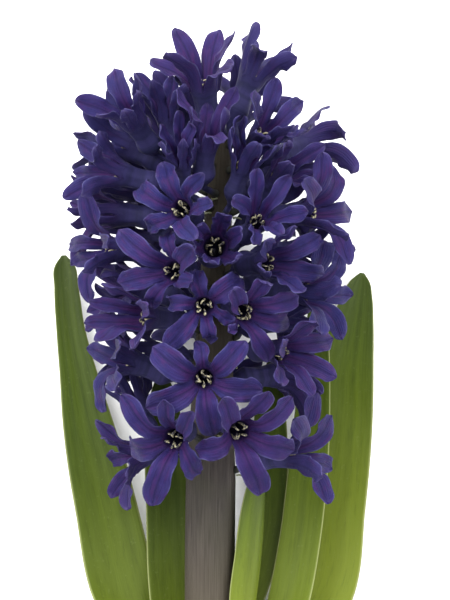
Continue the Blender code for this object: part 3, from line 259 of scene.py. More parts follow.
def spread_feet():
    """Foot and tube base of every floret, the feet kept apart on the scape's surface."""
    feet, bases = [], []
    for _, mouth, head, _, _, size, _ in FLORETS:
        foot, base = foot_on_scape(mouth, head, TUBE_LEN * size)
        feet.append(foot)
        bases.append(base)
    feet, bases = np.array(feet), np.array(bases)
    for _ in range(80):
        d = feet[:, None] - feet[None]
        l = np.linalg.norm(d, axis=2) + np.eye(NF) * 99
        push = np.where(l < 4.6, (4.6 - l) * 0.3, 0.0)
        feet = feet + (d / l[..., None] * push[..., None]).sum(1)
        feet[:, 1] = np.clip(feet[:, 1], 92.0, SCAPE_LEN - 2.5)
        out = np.stack([feet[:, 0] - axis_x(feet[:, 1]), np.zeros(NF), feet[:, 2]], 1)
        out = unit(out) * (scape_r(feet[:, 1]) + 0.34)[:, None]
        feet = np.stack([axis_x(feet[:, 1]) + out[:, 0], feet[:, 1], out[:, 2]], 1)
    return feet, bases


def tip_seen(mouth, frame, size, angle, opening, length):
    """A lobe's tip as seen from above, (x, u); angle and opening may be arrays of one shape."""
    s = np.linspace(0, 1, 21)
    end = 0.21 + 2.05 * np.asarray(opening)[..., None]
    th = 0.16 + (end - 0.16) * (1 - (1 - s) ** 1.55)
    mean = 0.5 * (th[..., 1:] + th[..., :-1])
    r = MOUTH_R + TEPAL_LEN * length * np.sin(mean).mean(-1)
    z = TEPAL_LEN * length * np.cos(mean).mean(-1)
    local = np.stack([r * np.cos(angle), r * np.sin(angle), z + 0 * r], -1) * size
    at = np.asarray(mouth) + local @ frame.T
    k = EYE_W / (EYE_W - at[..., 2])
    k0 = EYE_W / (EYE_W - 12.0)
    return np.stack([EYE_X + (at[..., 0] - EYE_X) * k / k0, EYE_U + (at[..., 1] - EYE_U) * k / k0], -1)


def set_lobes():
    """Roll, and each lobe's (opening, swing, length), so that the tips lie where TIPS has them."""
    chosen = []
    for f, (name, mouth, head, roll, opening, size, _) in enumerate(FLORETS):
        rng = np.random.default_rng(100 + f)
        lobes = []
        for k in range(6):
            o = max(0.0, opening + rng.uniform(-0.11, 0.11) * min(1.0, opening * 2)) * (0.97 if k % 2 else 1.0)
            lobes.append((o, rng.uniform(-0.16, 0.16), rng.uniform(0.95, 1.05) * CUP_LOBES.get(name, 1.0)))
        goals = np.array(TIPS.get(name, ()), float)
        if len(goals):
            o = opening + np.linspace(-0.42, 0.42, 15)
            o, w, g = np.meshgrid(np.maximum(o, 0.03), np.linspace(-0.42, 0.42, 13), (0.88, 0.96, 1.04), indexing="ij")
            odd = 22 * (o - opening) ** 2 + 26 * w**2 + 60 * (g - 1) ** 2
            best = None
            for turn in range(0, 60, 6):
                frame = heading_frame(head, turn)
                cost = np.zeros((6, len(goals)))
                pick = np.zeros((6, len(goals)), int)
                for k in range(6):
                    seen = tip_seen(mouth, frame, size, math.radians(60 * k) + w, o, g)
                    for t, goal in enumerate(goals):
                        c = (((seen - goal) ** 2).sum(-1) + odd).ravel()
                        pick[k, t] = c.argmin()
                        cost[k, t] = c[pick[k, t]]
                orders = np.array(list(itertools.permutations(range(6), len(goals))))
                total = cost[orders, np.arange(len(goals))].sum(1)
                at = total.argmin()
                if best is None or total[at] < best[0] - 1e-9:
                    best = (total[at], turn, orders[at], pick)
            _, roll, order, pick = best
            for t, k in enumerate(order):
                i = pick[k, t]
                lobes[k] = (float(o.flat[i]), float(w.flat[i]), float(g.flat[i]))
        chosen.append((roll, lobes))
    return chosen


def face_up(frame, angle, opening):
    """How far a lobe twists towards the light, which falls from above."""
    light = frame[2]
    th = 0.16 + (0.05 + 2.05 * opening) * 0.85
    er = np.array([math.cos(angle), math.sin(angle), 0])
    along = math.sin(th) * er + np.array([0, 0, math.cos(th)])
    inner = -math.cos(th) * er + np.array([0, 0, math.sin(th)])
    flat = np.cross(light, along)
    across = np.array([-math.sin(angle), math.cos(angle), 0])
    if flat @ across < 0:
        flat = -flat
    turn = math.atan2(flat @ inner, flat @ across) * np.linalg.norm(flat)
    return float(np.clip(turn, -0.9, 0.9)) * min(1.0, max(0.0, (opening - 0.15) / 0.3))


def design(bloom, lobe_set):
    """Every floret's points (NF, NP, 3) in the bench frame, for buds at bloom 0 and the final flowers at 1."""
    made = np.zeros((NF, NP, 3))
    feet, bases = spread_feet()
    for f, (_, mouth, head, _, opening, size, _) in enumerate(FLORETS):
        rng = np.random.default_rng(200 + f)
        roll, lobes = lobe_set[f]
        frame = heading_frame(head, roll)
        grow = size * (0.55 + 0.45 * bloom)
        local = np.zeros((NP, 3))
        local[2] = (0, 0, -TUBE_LEN * size)
        for k in range(6):
            a = math.radians(60 * k)
            c, s = math.cos(a), math.sin(a)
            local[BULGE + k] = (BULGE_R * size * c, BULGE_R * size * s, -10.6 * size)
            local[WAIST + k] = (WAIST_R * size * c, WAIST_R * size * s, -6.2 * size)
            local[MIDS + k] = (MOUTH_R * size * c, MOUTH_R * size * s, 0)
            g = math.radians(60 * k + 30)
            local[GAPS + k] = (0.97 * MOUTH_R * size * math.cos(g), 0.97 * MOUTH_R * size * math.sin(g), -0.9 * size)
            open_k, swing, length = lobes[k]
            open_k, swing = open_k * bloom, swing * bloom
            twist = (rng.uniform(-0.25, 0.25) + face_up(frame, a + swing, open_k)) * bloom
            slim = 0.56 + (min(1.0, max(0.84, 0.72 + 0.42 * opening)) - 0.56) * bloom
            ss, rr, zz, th = lobe_path(open_k)
            for row, sv in enumerate((*ROWS, 1.0)):
                r = np.interp(sv, ss, rr)
                z = np.interp(sv, ss, zz)
                t = np.interp(sv, ss, th)
                r = MOUTH_R + (r - MOUTH_R) * length
                z = z * length
                turn = a + swing * min(1.0, 1.4 * sv)
                er = np.array([math.cos(turn), math.sin(turn), 0])
                ez = np.array([0, 0, 1.0])
                eb = np.array([-math.sin(turn), math.cos(turn), 0])
                inner = -math.cos(t) * er + math.sin(t) * ez
                mid = r * er + z * ez
                at = LOBES + 10 * k + 3 * row
                if row == 3:
                    local[at] = (mid + inner * 0.5) * grow
                    break
                side = math.cos(twist * sv) * eb + math.sin(twist * sv) * inner
                hw = half_width(sv) * slim
                cup = 0.55 + 0.5 * (1 - sv)
                mid = mid + inner * (-0.6 if k % 2 else 0.6) * bloom * (1.0, 1.0, 0.5)[row]
                local[at] = (mid - side * hw + inner * cup) * grow
                local[at + 1] = mid * grow
                local[at + 2] = (mid + side * hw + inner * cup) * grow
        foot, base = feet[f], bases[f]
        world = np.asarray(mouth) + local @ frame.T
        world[0] = foot
        world[1] = 0.5 * (foot + base) + np.array([0, -0.6, 0])
        world[2] = base
        made[f] = lay_down(world)
    return made


def links():
    """Pairs of a floret's points that hold its shape, and how firmly."""
    pairs = {}

    def tie(points, firm):
        for i, a in enumerate(points):
            for b in points[i + 1 :]:
                pairs.setdefault((min(a, b), max(a, b)), firm)

    tube = list(range(1, LOBES))
    for k in range(6):
        lobe = list(range(LOBES + 10 * k, LOBES + 10 * k + 10))
        root = [MIDS + k, GAPS + k, GAPS + (k + 5) % 6]
        tie(lobe[:6] + root, 0.9)
        tie(lobe, 0.75)
        for p in lobe[:4] + [lobe[4]]:
            for q in range(BULGE, LOBES):
                pairs.setdefault((q, p), 0.16)
    tie(tube, 1.0)
    keys = sorted(pairs)
    return np.array(keys), np.array([pairs[k] for k in keys])


def close_pairs(points, owner, part, limit, reach):
    """Index pairs of points of different owners that are closer than limit, found on a grid. Two lobes of
    one floret count as different too: part is the lobe, or -1 on a tube."""
    cell = np.floor(points / limit).astype(np.int64)
    cell -= cell.min(0)
    dims = cell.max(0) + 3
    key = ((cell[:, 0] + 1) * dims[1] + cell[:, 1] + 1) * dims[2] + cell[:, 2] + 1
    order = np.argsort(key, kind="stable")
    ks = key[order]
    found = []
    steps = [(a, b, c) for a in (-1, 0, 1) for b in (-1, 0, 1) for c in (-1, 0, 1)]
    for a, b, c in steps:
        shift = (a * dims[1] + b) * dims[2] + c
        if shift < 0:
            continue
        lo = np.searchsorted(ks, key + shift, "left")
        hi = np.searchsorted(ks, key + shift, "right")
        n = hi - lo
        i = np.repeat(np.arange(len(points)), n)
        start = np.repeat(lo - np.concatenate([[0], np.cumsum(n)[:-1]]), n)
        j = order[start + np.arange(n.sum())]
        apart = (owner[i] != owner[j]) | ((part[i] != part[j]) & (part[i] >= 0) & (part[j] >= 0))
        keep = apart & (owner[i] < reach) & ((i < j) if shift == 0 else True)
        i, j = i[keep], j[keep]
        d = points[i] - points[j]
        near = (d * d).sum(1) < limit * limit
        found.append(np.stack([i[near], j[near]]))
    return np.concatenate(found, 1)


def crossing(x, leaves):
    """Lobe points (floret, point, own) next to faces that pass through another floret or a leaf, or its own lobes."""
    solids = [floret_solid(p) for p in x]
    trees = [BVHTree.FromPolygons([tuple(a) for a in v], f) for v, f in solids]
    low = x.min(1) - 1.0
    high = x.max(1) + 1.0
    faces = sheet_faces()
    caught = set()
    loops = solids[0][1]

    def lobe_points(q):
        if q < 2 * len(faces):
            return [p for p in faces[q // 2] if p >= LOBES]
        if q >= 2 * len(faces) + 48:
            return []
        k, e = divmod(q - 2 * len(faces), 8)
        lobe = LOBES + 10 * k
        edge = [lobe, lobe, lobe + 3, lobe + 6, lobe + 9, lobe + 8, lobe + 5, lobe + 2, lobe + 2]
        return [edge[e], edge[e + 1]]

    for i in range(NF):
        for a, b in trees[i].overlap(trees[i]):
            if a < b and not set(loops[a]) & set(loops[b]):
                caught.update((i, p, True) for q in (a, b) for p in lobe_points(q))
        for leaf in leaves:
            for a, _ in trees[i].overlap(leaf):
                caught.update((i, p, False) for p in lobe_points(a))
        for j in range(i + 1, NF):
            if (low[i] > high[j]).any() or (low[j] > high[i]).any():
                continue
            for a, b in trees[i].overlap(trees[j]):
                caught.update((i, p, False) for p in lobe_points(a))
                caught.update((j, p, False) for p in lobe_points(b))
    return sorted(caught)


def relax(obstacles, leaves, stages=14, rounds=18, settle=420):
    """Opens the buds step by step, so that neighbouring lobes press past each other instead of through:
    each floret keeps its own shape as well as it can, stays near its place, and touches nothing."""
    pairs, firm = links()
    count = np.bincount(pairs.ravel(), minlength=NP).astype(float)
    gather = np.zeros((NP, len(pairs)))
    gather[pairs[:, 0], np.arange(len(pairs))] = 1
    gather[pairs[:, 1], np.arange(len(pairs))] = -1
    gather /= np.maximum(count, 1)[:, None]
    lobe_set = set_lobes()
    x = design(0.0, lobe_set)
    n_obs = len(obstacles)
    owner = np.concatenate([np.repeat(np.arange(NF), NP), np.full(n_obs, NF)])
    lobe_of = np.full(NP, -1)
    lobe_of[LOBES:] = np.arange(60) // 10
    part = np.concatenate([np.tile(lobe_of, NF), np.full(n_obs, -1)])
    front = np.array([f[6] for f in FLORETS], float)
    hold = np.zeros((NF, NP))
    hold[:, 1:LOBES] = (0.10 + 0.22 * front)[:, None]
    hold[:, LOBES:] = (0.008 + 0.06 * front)[:, None]
    give = np.repeat(1.0 - 0.45 * front, NP)           # how readily a point is pushed
    give = np.concatenate([give, np.zeros(n_obs)])
    stalk = np.zeros((NF, NP), bool)
    stalk[:, :3] = True
    total = stages * rounds + settle
    near = None
    shorter, narrower = np.zeros((NF, 6), int), np.zeros((NF, 6), int)
    for it in range(total):
        bloom = min(1.0, (it // rounds + 1) / stages)
        if it % rounds == 0 and it // rounds < stages:
            goal = design(bloom, lobe_set)
            rest = np.linalg.norm(goal[:, pairs[:, 0]] - goal[:, pairs[:, 1]], axis=2)
        if it % 6 == 0:
            pts = np.concatenate([x.reshape(-1, 3), obstacles])
            near = close_pairs(pts, owner, part, TOUCH + 1.6, NF)
        last = it >= stages * rounds
        if last and it % 12 == 0:
            # lobes that still cross draw back a little towards their own mouth
            caught = crossing(x, leaves)
            shorten, narrow = set(), set()
            for f, p, own in caught:
                k = (p - LOBES) // 10
                if own:
                    narrow.add((f, k))
                    if narrower[f, k] > 3:
                        shorten.add((f, k))
                else:
                    shorten.add((f, k))
                    x[f, p] += unit(x[f, MIDS + k] - x[f, p]) * 0.2
            for f, k in sorted(shorten):
                lobe = slice(LOBES + 10 * k, LOBES + 10 * k + 10)
                if shorter[f, k] < 13:
                    shorter[f, k] += 1
                    goal[f, lobe] += (goal[f, MIDS + k] - goal[f, lobe]) * 0.05
            for f, k in sorted(narrow):
                if narrower[f, k] < 14:
                    narrower[f, k] += 1
                    for r in (0, 3, 6):
                        a = LOBES + 10 * k + r
                        goal[f, a] += (goal[f, a + 1] - goal[f, a]) * 0.08
                        goal[f, a + 2] += (goal[f, a + 1] - goal[f, a + 2]) * 0.08
            for f in {f for f, _ in shorten | narrow}:
                rest[f] = np.linalg.norm(goal[f, pairs[:, 0]] - goal[f, pairs[:, 1]], axis=1)
            if not caught and it > stages * rounds + 60:
                break
        # shape
        for _ in range(2):
            d = x[:, pairs[:, 0]] - x[:, pairs[:, 1]]
            l = np.linalg.norm(d, axis=2)
            c = d * ((rest - l) / np.maximum(l, 1e-6) * 0.5 * firm)[..., None]
            x += 1.5 * np.einsum("pk,fkc->fpc", gather, c, optimize=True)
        # place
        x += (goal - x) * (hold * (0.5 if last else 1.0))[..., None]
        # contact
        pts = np.concatenate([x.reshape(-1, 3), obstacles])
        i, j = near
        d = pts[i] - pts[j]
        l = np.linalg.norm(d, axis=1)
        limit = np.where(owner[j] == NF, TOUCH + 0.25, np.where(owner[i] == owner[j], 1.7, TOUCH))
        hit = l < limit
        i, j, d, l, limit = i[hit], j[hit], d[hit], l[hit], limit[hit]
        share = give[i] / np.maximum(give[i] + give[j], 1e-6)
        push = d / np.maximum(l, 1e-6)[:, None] * (limit - l)[:, None]
        moved = np.zeros_like(pts)
        met = np.bincount(i, minlength=len(pts)) + np.bincount(j, minlength=len(pts))
        for c in range(3):
            moved[:, c] = np.bincount(i, push[:, c] * share, len(pts)) - np.bincount(
                j, push[:, c] * (1 - share), len(pts)
            )
        moved *= (np.minimum(1.0, 1.6 / np.maximum(met, 1)))[:, None]
        x += moved[: NF * NP].reshape(NF, NP, 3)
        # the bench
        x[..., 2] = np.maximum(x[..., 2], 0.75)
        # the scape
        y, z = x[..., 1], x[..., 2] - NECK_H
        u = y * COS_T + z * SIN_T
        w = z * COS_T - y * SIN_T
        dx = x[..., 0] - axis_x(u)
        rr = np.sqrt(dx * dx + w * w)
        need = scape_r(u) + 1.9
        inside = (rr < need) & ~stalk & (u < SCAPE_LEN)
        k = np.where(inside, need / np.maximum(rr, 1e-6), 1.0)
        ndx, nw = dx * k, w * k
        x[..., 0] += ndx - dx
        x[..., 1] += -(nw - w) * SIN_T
        x[..., 2] += (nw - w) * COS_T
        x[:, 0] = goal[:, 0]
    return x


# ---------------------------------------------------------------------------
# Leaves: stations (u, x, w, width, azimuth of the upper face, half-angle of the channel)
# ---------------------------------------------------------------------------


def base_station(u, az, half, layer):
    r = 7.35 + 0.35 + LEAF_T / 2 + layer * (LEAF_T + 0.45)
    a, h = math.radians(az), math.radians(half)
    return (u, axis_x(u) + r * math.cos(a), r * math.sin(a), 2 * h * r, az + 180, half)


LEAVES = {
    "leaf_left_outer": [
        base_station(0, 168, 50, 1),
        base_station(10, 168, 50, 1),
        (26, -15.0, 0.5, 20.5, 350, 42),
        (44, -22.4, -5.0, 22.0, 398, 34),
        (62, -27.6, -10.0, 22.0, 430, 26),
        (85.5, -32.6, -15.4, 19.8, 438, 22),
        (99, -35.6, -18.4, 18.4, 440, 21),
        (112.8, -38.7, -21.2, 15.6, 442, 21),
        (126.6, -41.4, -24.0, 12.0, 443, 21),
        (140.4, -43.9, -26.8, 9.2, 444, 22),
        (154, -45.4, -29.0, 7.8, 445, 26),
        (161, -46.0, -30.0, 6.2, 446, 32),
        (164, -46.2, -30.4, 1.4, 446, 36),
    ],
    "leaf_left_inner": [
        base_station(0, 203, 41, 0),
        base_station(12, 203, 41, 0),
        (30, -10.8, -5.4, 14.6, 395, 36),
        (50, -12.4, -9.0, 14.6, 420, 28),
        (66, -13.2, -11.4, 14.2, 434, 24),
        (85, -13.8, -14.4, 13.4, 440, 22),
        (100, -14.4, -17.4, 13.0, 442, 22),
        (112, -14.8, -20.2, 11.4, 442, 22),
        (122, -15.2, -22.6, 7.2, 442, 25),
        (128, -15.6, -24.0, 1.6, 442, 30),
    ],
    "leaf_right_inner": [
        base_station(0, 6, 41, 0),
        base_station(14, 6, 41, 0),
        (34, 9.6, 3.2, 12.6, 200, 36),
        (48, 10.3, 4.2, 12.8, 210, 33),
        (60, 10.8, 4.6, 12.8, 222, 30),
        (72, 12.2, 3.4, 12.6, 222, 28),
        (84, 13.4, 1.8, 12.0, 220, 26),
        (92.5, 14.4, -0.2, 9.8, 217, 25),
        (99.5, 15.4, -2.2, 5.6, 213, 28),
        (103, 15.8, -3.4, 1.4, 210, 32),
    ],
    "leaf_right_back": [
        base_station(0, -75, 21, 0),
        base_station(14, -75, 21, 0),
        (32, 4.6, -10.0, 8.0, 104, 22),
        (50, 8.4, -13.8, 10.0, 102, 22),
        (64, 13.0, -16.0, 11.5, 101, 22),
        (80, 16.8, -18.4, 12.0, 101, 22),
        (100, 18.0, -21.4, 12.0, 98, 22),
        (116, 18.4, -24.0, 9.6, 97, 23),
        (127, 18.8, -26.2, 5.6, 96, 25),
        (133, 19.0, -27.4, 1.6, 96, 28),
    ],
    "leaf_right_middle": [
        base_station(0, -14, 38, 1),
        base_station(10, -14, 38, 1),
        (28, 15.6, -3.4, 15.5, 150, 34),
        (44, 20.8, -6.8, 15.0, 130, 28),
        (60, 24.6, -9.8, 14.0, 112, 24),
        (78.6, 27.8, -13.2, 13.2, 104, 22),
        (95.7, 29.8, -16.4, 12.8, 102, 21),
        (121, 31.8, -21.6, 10.6, 100, 21),
        (140, 32.8, -25.6, 7.6, 99, 24),
        (150, 33.4, -27.4, 4.6, 98, 28),
        (154, 33.6, -28.0, 1.4, 98, 32),
    ],
    "leaf_right_outer": [
        base_station(0, -90, 32, 1),
        base_station(10, -90, 32, 1),
        (24, 9.0, -13.4, 17.0, 90, 19),
        (42, 21.0, -17.2, 19.5, 94, 21),
        (60, 34.0, -18.8, 20.5, 97, 22),
        (85.5, 38.2, -23.0, 20.0, 98, 21),
        (112.8, 41.1, -27.0, 19.0, 98, 20),
        (130, 42.2, -29.4, 17.6, 98, 20),
        (144, 44.5, -31.2, 13.0, 97, 22),
        (151.8, 45.9, -32.2, 9.4, 96, 26),
        (156, 46.8, -32.6, 6.0, 96, 32),
        (158.5, 47.2, -32.8, 1.4, 96, 36),
    ],
}


def through(stations, t):
    """A smooth curve through the stations, read at t from 0 to 1 along their length."""
    p = np.array(stations, float)
    step = np.linalg.norm(np.diff(p[:, :3], axis=0), axis=1)
    at = np.concatenate([[0], np.cumsum(step)])
    slope = np.gradient(p, at, axis=0)
    q = np.asarray(t) * at[-1]
    k = np.clip(np.searchsorted(at, q, "right") - 1, 0, len(at) - 2)
    h = (at[k + 1] - at[k])[:, None]
    s = ((q - at[k]) / (at[k + 1] - at[k]))[:, None]
    return (
        (2 * s**3 - 3 * s**2 + 1) * p[k]
        + (s**3 - 2 * s**2 + s) * h * slope[k]
        + (-2 * s**3 + 3 * s**2) * p[k + 1]
        + (s**3 - s**2) * h * slope[k + 1]
    )


def leaf_tree(sheet):
    """The leaf's two faces, a little swollen, for finding what passes through them."""
    rows, cols = sheet.shape[:2]
    n = np.cross(np.gradient(sheet, axis=0), np.gradient(sheet, axis=1))
    n = unit(n) * (LEAF_T / 2 + 0.25)
    verts = np.concatenate([(sheet + n).reshape(-1, 3), (sheet - n).reshape(-1, 3)])
    faces = []
    for k in (0, rows * cols):
        for r in range(rows - 1):
            for c in range(cols - 1):
                a = k + r * cols + c
                faces.append((a, a + 1, a + cols + 1, a + cols))
    return BVHTree.FromPolygons([tuple(v) for v in verts], faces)


def leaf_sheet(stations, rows, cols, lift=LEAF_T / 2 + 0.1):
    """The leaf's middle surface, as (rows, cols, 3) points in the bench frame, and its upper-face normals."""
    t = np.linspace(0, 1, rows)
    t = 0.5 * t + 0.5 * (1 - (1 - t) ** 1.5)     # closer rows at the tip
    c = through(stations, t)
    p = c[:, [1, 0, 2]]
    tan = unit(np.gradient(p, axis=0))
    n = np.stack([np.cos(np.radians(c[:, 4])), np.zeros(rows), np.sin(np.radians(c[:, 4]))], 1)
    n = unit(n - tan * (n * tan).sum(1, keepdims=True))
    b = np.cross(tan, n)
    phi = np.radians(np.maximum(c[:, 5], 3))[:, None]
    width = np.maximum(c[:, 3], 0.8)[:, None]
    v = np.linspace(-1, 1, cols)[None, :]
    rad = width / (2 * phi)
    sheet = (
        p[:, None] + (rad * np.sin(v * phi))[..., None] * b[:, None] + (rad * (1 - np.cos(v * phi)))[..., None] * n[:, None]
    )
    sheet = lay_down(sheet)
    sheet[..., 2] = np.maximum(sheet[..., 2], lift)
    return sheet
# ---------------------------------------------------------------------------
# Meshes
# ---------------------------------------------------------------------------
TEPAL_T = 0.8                 # thickness of a lobe
SHEET_RING = [MIDS + k // 2 if k % 2 == 0 else GAPS + k // 2 for k in range(12)]


def sheet_faces():
    """The floret's wall as one sheet of faces, inner side up: tube from the waist to the mouth, then six lobes."""
    faces = []
    for k in range(6):
        n = (k + 1) % 6
        a, b = WAIST + k, WAIST + n
        m, g, m2 = MIDS + k, GAPS + k, MIDS + n
        faces += [(a, m, g), (a, g, b), (b, g, m2)]
        lobe = LOBES + 10 * k
        left = GAPS + (k + 5) % 6
        rows = [(left, m, g)] + [(lobe + r, lobe + r + 1, lobe + r + 2) for r in (0, 3, 6)]
        for (l0, c0, r0), (l1, c1, r1) in zip(rows, rows[1:]):
            faces += [(l0, l1, c1), (l0, c1, c0), (c0, c1, r0), (c1, r1, r0)]
        faces += [(lobe + 6, lobe + 9, lobe + 7), (lobe + 7, lobe + 9, lobe + 8)]
    return faces


def sheet_normals(p, faces):
    n = np.zeros_like(p)
    for f in faces:
        f = list(f)
        c = np.cross(p[f[1]] - p[f[0]], p[f[2]] - p[f[0]])
        if len(f) == 4:
            c = c + np.cross(p[f[2]] - p[f[0]], p[f[3]] - p[f[0]])
        n[f] += unit(c)
    return unit(n)


def ring_around(centre, axis, toward, radius, count):
    a = unit(axis)
    x = unit(toward - a * (toward @ a))
    y = np.cross(a, x)
    t = np.arange(count) * 2 * np.pi / count
    return centre + radius * (np.cos(t)[:, None] * x + np.sin(t)[:, None] * y)


def floret_solid(p):
    """One floret as a closed solid: stalk, round base, tube, six lobes with a thickness, throat with its pistil."""
    faces = sheet_faces()
    n = sheet_normals(p, faces)
    used = list(range(WAIST, NP))
    outer, inner, verts, out = {}, {}, [], []
    mouth = p[MIDS : MIDS + 6].mean(0)
    throat = p[WAIST : WAIST + 6].mean(0)
    axis = unit(mouth - throat)
    for i in used:
        half = TEPAL_T / 2 * (0.75 if i >= LOBES and (i - LOBES) % 10 == 9 else 1.0)
        outer[i] = len(verts)
        verts.append(p[i] - n[i] * half if i >= MIDS else p[i])
        inner[i] = len(verts)
        verts.append(p[i] + n[i] * half if i >= MIDS else throat + 0.55 * (p[i] - throat))
    for f in faces:
        out.append([inner[i] for i in f])
        out.append([outer[i] for i in reversed(f)])
    for k in range(6):
        lobe = LOBES + 10 * k
        edge = [GAPS + (k + 5) % 6, lobe, lobe + 3, lobe + 6, lobe + 9, lobe + 8, lobe + 5, lobe + 2, GAPS + k]
        for a, b in zip(edge, edge[1:]):
            out.append([outer[a], outer[b], inner[b], inner[a]])
    # the throat closes on the pistil
    tip = len(verts)
    verts.append(throat + axis * 2.6)
    for k in range(6):
        out.append([inner[WAIST + k], tip, inner[WAIST + (k + 1) % 6]][::-1])
    # round base
    ring = [outer[WAIST + k] for k in range(6)]
    bulge = len(verts)
    verts += list(p[BULGE : BULGE + 6])
    for k in range(6):
        m = (k + 1) % 6
        out.append([bulge + k, bulge + m, ring[m], ring[k]])
    # stalk
    x = p[BULGE] - p[BULGE : BULGE + 6].mean(0)
    base = len(verts)
    lower, upper = unit(p[1] - p[0]), unit(p[2] - p[1])
    verts += list(ring_around(p[2], axis + upper, x, PEDICEL_R + 0.45, 4))
    mid = len(verts)
    verts += list(ring_around(p[1], lower + upper, x, PEDICEL_R, 4))
    foot = len(verts)
    y, z = p[0][1], p[0][2] - NECK_H
    u = y * COS_T + z * SIN_T
    here = lay_down(np.array([axis_x(u), u, 0.0]))
    away = unit(p[0] - here)
    verts += list(ring_around(p[0], away, unit(p[2] - p[0]) * 0.01 + x, PEDICEL_R, 4))
    near = [0, 1, 1, 2, 3, 3]          # the ring corner each side of the round base runs down to
    for k in range(6):
        m = (k + 1) % 6
        a, b = near[k], near[m]
        if a == b:
            out.append([base + a, bulge + m, bulge + k])
        else:
            out.append([base + a, base + b, bulge + m, bulge + k])
    for k in range(4):
        m = (k + 1) % 4
        out.append([mid + k, mid + m, base + m, base + k])
        out.append([foot + k, foot + m, mid + m, mid + k])
    out.append([foot + 3, foot + 2, foot + 1, foot + 0])
    return np.array(verts), out
# ---------------------------------------------------------------------------
# Fine surfaces
# ---------------------------------------------------------------------------
ACROSS = 8                    # cells across a lobe
ALONG = 17                    # rows along a lobe
AROUND = 6 * ACROSS


def spline(at, values, t):
    """A smooth curve through values (N, ...) at the knots at, read at t."""
    at = np.asarray(at, float)
    v = np.asarray(values, float)
    shape = v.shape[1:]
    v = v.reshape(len(at), -1)
    h = np.diff(at)
    d = np.diff(v, axis=0) / h[:, None]
    m = np.empty_like(v)
    m[1:-1] = (d[:-1] * h[1:, None] + d[1:] * h[:-1, None]) / (h[1:] + h[:-1])[:, None]
    m[0] = 1.5 * d[0] - 0.5 * m[1]
    m[-1] = 1.5 * d[-1] - 0.5 * m[-2]
    t = np.asarray(t, float)
    k = np.clip(np.searchsorted(at, t, "right") - 1, 0, len(at) - 2)
    s = ((t - at[k]) / h[k])[:, None]
    hk = h[k][:, None]
    out = (
        (2 * s**3 - 3 * s**2 + 1) * v[k]
        + (s**3 - 2 * s**2 + s) * hk * m[k]
        + (-2 * s**3 + 3 * s**2) * v[k + 1]
        + (s**3 - s**2) * hk * m[k + 1]
    )
    return out.reshape((len(t),) + shape)


def round_ring(six, angles):
    """A smooth ring through six points that sit 60 degrees apart."""
    a = np.radians(60 * np.arange(6))

    def base(q):
        return np.stack([np.ones_like(q), np.cos(q), np.sin(q), np.cos(2 * q), np.sin(2 * q), np.cos(3 * q)], 1)

    return base(angles) @ np.linalg.solve(base(a), six)


